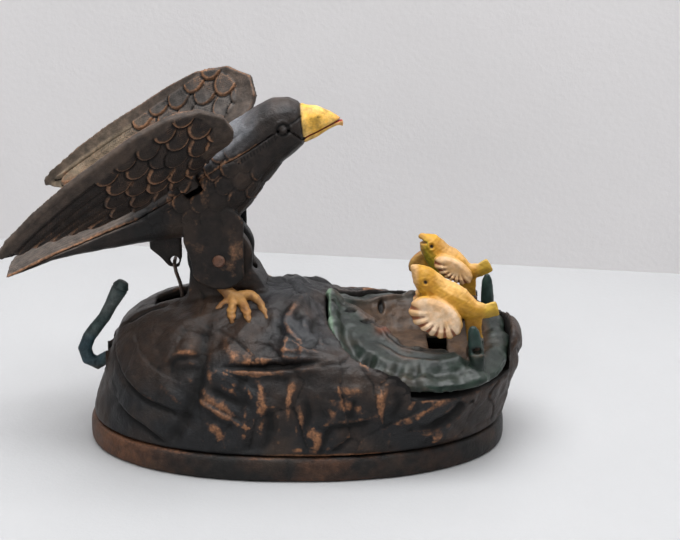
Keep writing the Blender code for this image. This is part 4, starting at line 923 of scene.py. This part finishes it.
def make_nest():
    skin = Skin("nest_casting", 0.5, 10)
    co, n = skin.co.copy(), skin.normals()
    x, y, z = co.T
    dx, dy = x - 49.5, y + 4.0
    reach = ((np.abs(dx) / 36.7) ** 2.6 + (np.abs(dy) / 41) ** 2.6) ** (1 / 2.6)
    angle = np.arctan2(dy, dx)
    upper = smoothstep(-0.35, 0.1, n[:, 2])
    post = (((np.hypot(x - 71.3, y + 33.4) < 4.4) & (z > 48.4))
            | ((np.hypot(x - 79.1, y - 17) < 4.2) & (z > 50)))
    works = (np.abs(x - 72) < 8) & (np.abs(np.abs(y) - 24) < 7) & (z > 44)
    free = upper * np.where(post | works, 0.15, 1)
    lobes = np.cos(angle * 13 + 1.2 * np.sin(angle * 3))
    rim = smoothstep(0.70, 0.86, reach)
    pleat = grain(np.stack([angle * 26, reach * 6, 0 * angle], 1), 3.0, 111)
    skin.height = free * (rim * (1.0 * pleat + 0.3 * lobes) + 0.45 * grains(co, 7, 113))
    edge_y = np.interp(x, [13, 21, 30, 36, 42, 50, 60, 66], [5, 2, -5, -14, -21, -25, -26, -31])
    leaf = smoothstep(0, 4, edge_y - y) * smoothstep(62, 50, x) * smoothstep(1.0, 0.96, reach)
    turned = np.arctan2(y + 4, x - 49.5)
    vein = 0.45 * np.cos(turned * 34 + 3 * reach + 0.8 * grain(co, 9, 112)) * smoothstep(0.66, 0.8, reach)
    skin.height += free * leaf * (0.5 * vein + 0.9 * bump(reach - 0.93, 0.05) - 0.2)
    for points, height, width in TWIG_LINES:
        skin.ridge(points, height, width, 0.35)
        skin.ridge([(px, py + 1.9, pz) for px, py, pz in points], -0.7, 0.8, 0, 0.7)
    twigs = np.clip(skin.wear / 0.35, 0, 1) * upper
    holes = np.zeros(len(co))
    for point, size in (((22, -3.5, 54), (2.2, 1.2, 6)), ((29, -9, 52), (2.8, 1.3, 6)),
                        ((35, 23.5, 46), (1.3, 3, 3.0)), ((16, -3, 60), (1.3, 1.0, 5))):
        reached = np.linalg.norm((co - np.array(point)) / np.array(size), axis=1)
        holes = np.maximum(holes, smoothstep(1.25, 0.7, reached))
    knob = bump(np.linalg.norm(co - np.array([35.5, -15.5, 50.5]), axis=1), 2.6)
    skin.height += free * (1.2 * knob - 1.6 * holes)
    skin.push((-1.8, 2.0))
    inside = smoothstep(0.84, 0.74, reach) * upper
    bowl = inside * (1 - leaf) * smoothstep(-1, 2, y - edge_y)
    green = mix((0.0085, 0.0145, 0.0125), (0.016, 0.029, 0.021),
                np.clip(0.5 + 0.7 * grains(co, 8, 115), 0, 1))
    # painted sheen: upward-facing leaves are painted a lighter grey-green as if lit from above
    green = mix(green, (0.030, 0.033, 0.031), smoothstep(0.4, 0.95, n[:, 2]) * 0.5)
    brown = mix((0.036, 0.022, 0.014), (0.070, 0.042, 0.025), np.clip(0.5 + 0.7 * grains(co, 10, 117), 0, 1))
    skin.paint = mix(green, brown, bowl)
    skin.paint = mix(skin.paint, (0.078, 0.048, 0.033), np.clip(twigs, 0, 1) * 0.9)
    skin.paint = mix(skin.paint, (0.13, 0.042, 0.022), np.clip(knob * 0.9, 0, 1))
    pale = bump(reach - 0.985, 0.018) * smoothstep(30, 16, x)
    skin.paint = mix(skin.paint, (0.16, 0.24, 0.17), np.clip(pale, 0, 1) * 0.9)
    skin.paint = mix(skin.paint, (0.016, 0.034, 0.029), np.where(post, 1.0, 0))
    edge = -skin.hollows(5)
    skin.wear = (smoothstep(0.04, 0.2, edge) * 0.35 * (1 - 0.6 * bowl)
                 + 0.2 * rim * smoothstep(0.1, 0.7, grains(co, 9, 119)))
    skin.wear *= np.where(post, 0.2, 1)
    # grime and painted shade in twig valleys and hollows; the dented twig gaps are painted dark as painted
    # shade
    skin.grime_and_shade = (np.clip(skin.grime_and_shade, 0, 1) * 0.6 * upper + holes * free
                 + smoothstep(0.04, 0.3, skin.hollows(10)) * 0.7)
    # painted shade: downward faces under the rim are painted dark
    skin.grime_and_shade += 0.6 * (1 - upper) * smoothstep(0.99, 0.9, reach)
    skin.gloss = rim * 0.5
    skin.finish("nest_cast", LEAVES, "nest_iron", "bank", "nest_casting")


# ---------------------------------------------------------------- snake lever


def make_snake():
    skin = Skin("snake_lever", 0.4, 4)
    co = skin.co.copy()
    x, y, z = co.T
    body = smoothstep(-72, -75, x + 0.35 * (40 - z) * (z > 40)) * np.ones(len(co))
    body = np.where(z > 46, 1, body)
    head = smoothstep(58, 61, z)
    scale = np.cos((z + 0.6 * x) * 2 * math.pi / 2.0) * np.cos((z - 0.6 * x + 2.4 * y) * 2 * math.pi / 2.0)
    skin.height = body * (0.14 * scale * (1 - 0.5 * head) + 0.1 * grains(co, 5, 131))
    for side in (-1, 1):
        eye = np.linalg.norm(co - np.array([-70.6, side * 2.3, 63.5]), axis=1)
        skin.height += 0.5 * smoothstep(1.1, 0.4, eye)
    skin.height -= 0.35 * bump(z - 62.4 + 0.5 * (x + 71), 0.35) * head
    skin.push()
    teal = mix((0.095, 0.112, 0.110), (0.042, 0.066, 0.066), np.clip(0.5 + 0.7 * grains(co, 7, 133), 0, 1))
    blue = smoothstep(9, 5, np.hypot(x + 85, z - 36))
    teal = mix(teal, (0.022, 0.055, 0.075), blue * 0.7)
    skin.paint = mix((0.03, 0.026, 0.024), teal, body)
    skin.wear = (0.3 * smoothstep(0.2, 0.8, grains(co, 6, 135)) + smoothstep(0.03, 0.12, -skin.hollows(4))
                 * 0.3)
    skin.wear += 0.5 * smoothstep(31.5, 28, z) * body
    # grime and painted shade in hollows, and the plain arm beyond the snake's body is darkened
    skin.grime_and_shade = smoothstep(0.02, 0.12, skin.hollows(5)) * 0.7 + (1 - body) * 0.5
    skin.finish("snake_lever_cast", SNAKE, "snake_iron", "lever", "snake_lever")


# ---------------------------------------------------------------- eaglets


# Each eaglet's fans as (middle x, z, half length, half width, tilt), right then left, and its eye
EAGLET_FANS = {-1: ((55.9, 61.8, 11.5, 7.4, -32), (57.0, 63.0, 10.0, 7.0, -25)),
               1: ((64.6, 66.0, 9.2, 4.6, -33), (55.4, 65.6, 10.0, 5.2, 30))}
EAGLET_EYES = {-1: (51.6, 75.6), 1: (55.6, 75.0)}


def make_eaglet(name, side):
    skin = Skin(name, 0.33, 6)
    skin.steady(20)
    co, n = skin.co.copy(), skin.normals()
    x, y, z = co.T
    offset = y - side * 22.0
    across = np.abs(offset)
    fan, rays, lower, edge = (np.zeros(len(co)) for _ in range(4))
    for hand, (mx, mz, a, b, tilt) in zip((-1, 1), EAGLET_FANS[side]):
        c, t = math.cos(math.radians(tilt)), math.sin(math.radians(tilt))
        fa, fb = (x - mx) * c + (z - mz) * t, -(x - mx) * t + (z - mz) * c
        reach = np.sqrt((fa / a) ** 2 + (fb / b) ** 2)
        mine = smoothstep(5.2, 6.4, offset * hand) * smoothstep(1.15, 1.02, reach)
        spread = np.arctan2(fb - 0.45 * b, fa - 0.1 * a)
        ray = np.cos(spread * 17)
        low = smoothstep(0.35 * b, -0.3 * b, fb) * smoothstep(0.25, 0.5, reach)
        fan = np.maximum(fan, mine)
        rays = np.where(mine > 0, ray, rays)
        lower = np.where(mine > 0, low, lower)
        edge = np.where(mine > 0, reach, edge)
    skin.height = fan * (0.34 * rays * lower + 0.22 * bump(edge - 0.62, 0.06) * lower)
    feather = np.cos(x * 2.1 + 1.5 * np.cos(z * 1.9)) * np.cos(z * 2.1)
    skin.height += (1 - fan) * 0.09 * feather + 0.07 * grains(co, 2.4, 141)
    ex, ez = EAGLET_EYES[side]
    eye = np.sqrt((x - ex) ** 2 + (z - ez) ** 2)
    on_head = across > 3.2
    skin.height -= (0.5 * smoothstep(1.2, 0.4, eye) - 0.25 * bump(eye - 1.6, 0.4)) * on_head
    tail = smoothstep(73.5, 77, x)
    skin.height += tail * 0.16 * np.cos(y * 5)
    skin.push((-0.8, 0.8))
    yellow = mix((0.56, 0.30, 0.03), (0.42, 0.20, 0.022), np.clip(0.5 + 0.8 * grains(co, 5, 143), 0, 1))
    # painted highlight: the upward-facing back behind the eye is painted a paler yellow as if lit from above
    back = smoothstep(0.1, 0.9, n[:, 2]) * smoothstep(ex + 3, ex + 6, x)
    yellow = mix(yellow, (0.66, 0.38, 0.13), back * 0.85)
    if side > 0:
        # painted shade: the far eaglet's throat and breast, facing forward and down, are painted a darker
        # yellow-green
        throat_shade = smoothstep(0.1, -0.6, n[:, 0] + 0.5 * n[:, 2]) * (1 - fan)
        yellow = mix(yellow, (0.30, 0.26, 0.02), throat_shade * 0.9)
    yellow = mix(yellow, (0.42, 0.31, 0.04), tail * 0.55)
    pink = mix((0.74, 0.46, 0.24), (0.84, 0.62, 0.42), np.clip(0.5 + grains(co, 3, 145), 0, 1))
    skin.paint = mix(yellow, pink, fan * smoothstep(1.02, 0.9, edge) * (1.0 if side < 0 else 0.75))
    tip = smoothstep(ex - 2.0, ex - 4.2, x)
    skin.paint = mix(skin.paint, (0.70, 0.42, 0.20) if side < 0 else (0.38, 0.20, 0.05), tip * 0.8)
    skin.paint = mix(skin.paint, (0.010, 0.008, 0.008), smoothstep(0.95, 0.55, eye) * on_head)
    skin.wear = (smoothstep(0.0, -0.75, rays) * lower * fan * (0.7 + 0.5 * smoothstep(0.5, 0.9, edge))
                 + 0.35 * smoothstep(0.35, 0.9, grains(co, 2.2, 147)))
    skin.wear += 0.4 * bump(edge - 1.0, 0.05) * fan
    # grime and painted shade in hollows; darker towards the bottom, away from the fans
    skin.grime_and_shade = smoothstep(0.02, 0.2, skin.hollows(8)) * 0.45 + 0.35 * smoothstep(60, 54, z) * (1 - fan)
    if side > 0:
        # painted shade: the inside of the far eaglet's open beak is painted dark
        inside = (x < 54) & (across < 3.6) & (z > 72) & (skin.hollows(30) > 0.25)
        skin.grime_and_shade += 0.8 * inside
    skin.finish(name + "_cast", CHICK, "eaglet_iron", "eaglets", name)


# ---------------------------------------------------------------- small parts


SMALL_PARTS = {
    IRONWORK: ["base_screw_1", "base_screw_2", "base_screw_3", "trap_rivet", "latch_rivet", "lever_pin",
               "wing_link_pin", "lever_spring", "tail_link", "bellows_link", "eaglet_link", "wing_push_rod",
               "near_wing_pin", "far_wing_pin", "eagle_screw", "eaglet_rod", "eaglet_arm", "trap_cover",
               "trap_latch"],
    RUSTY_RIVET: ["eagle_pivot_pin"],
    WOOD: ["bellows_board", "bellows_lid"],
    LEATHER: ["bellows_leather"],
    BRASS: ["bellows_whistle"],
}


def make_small_parts():
    """Parts whose shape is right already keep it and take a finish."""
    for material, nodes in SMALL_PARTS.items():
        for node in nodes:
            mesh = NODES[node].data
            mesh.materials.clear()
            mesh.materials.append(material)


# ---------------------------------------------------------------- stage, light and camera


def stage_material(name, colour, mottle, rough):
    m = Nodes(name)
    patch = m.noise(9, 5, 0.6)
    tone = m.mix(m.math("MULTIPLY", m.between(patch, 0.35, 0.7), mottle), colour,
                 tuple(0.86 * c for c in colour))
    m.set(Base_Color=tone, Roughness=rough)
    m.relief(m.noise(400, 4, 0.6), 0.0004, 0.4)
    return m.material


def plane(name, corners, material):
    mesh = bpy.data.meshes.new(name)
    mesh.from_pydata([tuple(c) for c in corners], [], [(0, 1, 2, 3)])
    mesh.materials.append(material)
    piece = bpy.data.objects.new(name, mesh)
    bpy.context.scene.collection.objects.link(piece)
    return piece


def make_stage():
    floor = stage_material("pale_table", (0.435, 0.435, 0.44), 0.25, 0.55)
    wall = stage_material("pale_wall", (0.675, 0.655, 0.655), 0.25, 0.85)
    plane("table_top", [(-4, -4, 0), (4, -4, 0), (4, 4, 0), (-4, 4, 0)], floor)
    left, right = Vector((-3.0, 0.655, 0)), Vector((3.0, -0.215, 0))
    tall = Vector((0, 0, 3))
    plane("wall", [left, right, right + tall, left + tall], wall)


def area_light(name, place, target, size, power, colour):
    light = bpy.data.lights.new(name, "AREA")
    light.shape = "RECTANGLE"
    light.size, light.size_y = size
    light.energy = power
    light.color = colour
    lamp = bpy.data.objects.new(name, light)
    lamp.location = place
    lamp.rotation_euler = (Vector(target) - Vector(place)).to_track_quat("-Z", "Y").to_euler()
    bpy.context.scene.collection.objects.link(lamp)


def make_lights():
    area_light("soft_top", (0.04, 0.0, 1.0), (0.02, 0.05, 0.05), (1.1, 0.8), 20, (0.98, 0.99, 1.0))
    area_light("soft_front", (-0.5, -1.2, 0.9), (0.02, 0, 0.06), (1.2, 1.0), 5, (1.0, 0.99, 0.97))
    area_light("soft_right", (1.1, 0.0, 0.7), (0.03, 0, 0.06), (0.6, 0.6), 4.0, (0.97, 0.98, 1.0))
    world = bpy.data.worlds.new("soft_room")
    world.use_nodes = True
    world.node_tree.nodes["Background"].inputs["Color"].default_value = (0.86, 0.88, 0.92, 1)
    world.node_tree.nodes["Background"].inputs["Strength"].default_value = 0.32
    bpy.context.scene.world = world
    bpy.context.scene.view_settings.view_transform = "Standard"


def make_camera():
    """The photographer's place: a little above the bank, facing its near side."""
    elevation, yaw, distance = math.radians(20), math.radians(0.5), 0.8
    target = Vector((0.0178 + CENTRE_X * MM, 0, 0.071))
    forward = Vector((-math.sin(yaw) * math.cos(elevation), math.cos(yaw) * math.cos(elevation),
                      -math.sin(elevation)))
    data = bpy.data.cameras.new("camera")
    data.sensor_width = 36
    data.lens = 104.2
    data.clip_start, data.clip_end = 0.01, 20
    camera = bpy.data.objects.new("camera", data)
    camera.location = target - forward * distance
    camera.rotation_euler = forward.to_track_quat("-Z", "Y").to_euler()
    bpy.context.scene.collection.objects.link(camera)
    bpy.context.scene.camera = camera


make_base()
make_rock()
make_foot(1)
make_foot(-1)
make_wing("near_wing", -1)
make_wing("far_wing", 1)
make_eagle_casting("eagle_body", False)
make_eagle_casting("eagle_back", True)
make_nest()
make_snake()
make_eaglet("near_eaglet", -1)
make_eaglet("far_eaglet", 1)
make_small_parts()
make_stage()
make_lights()
make_camera()
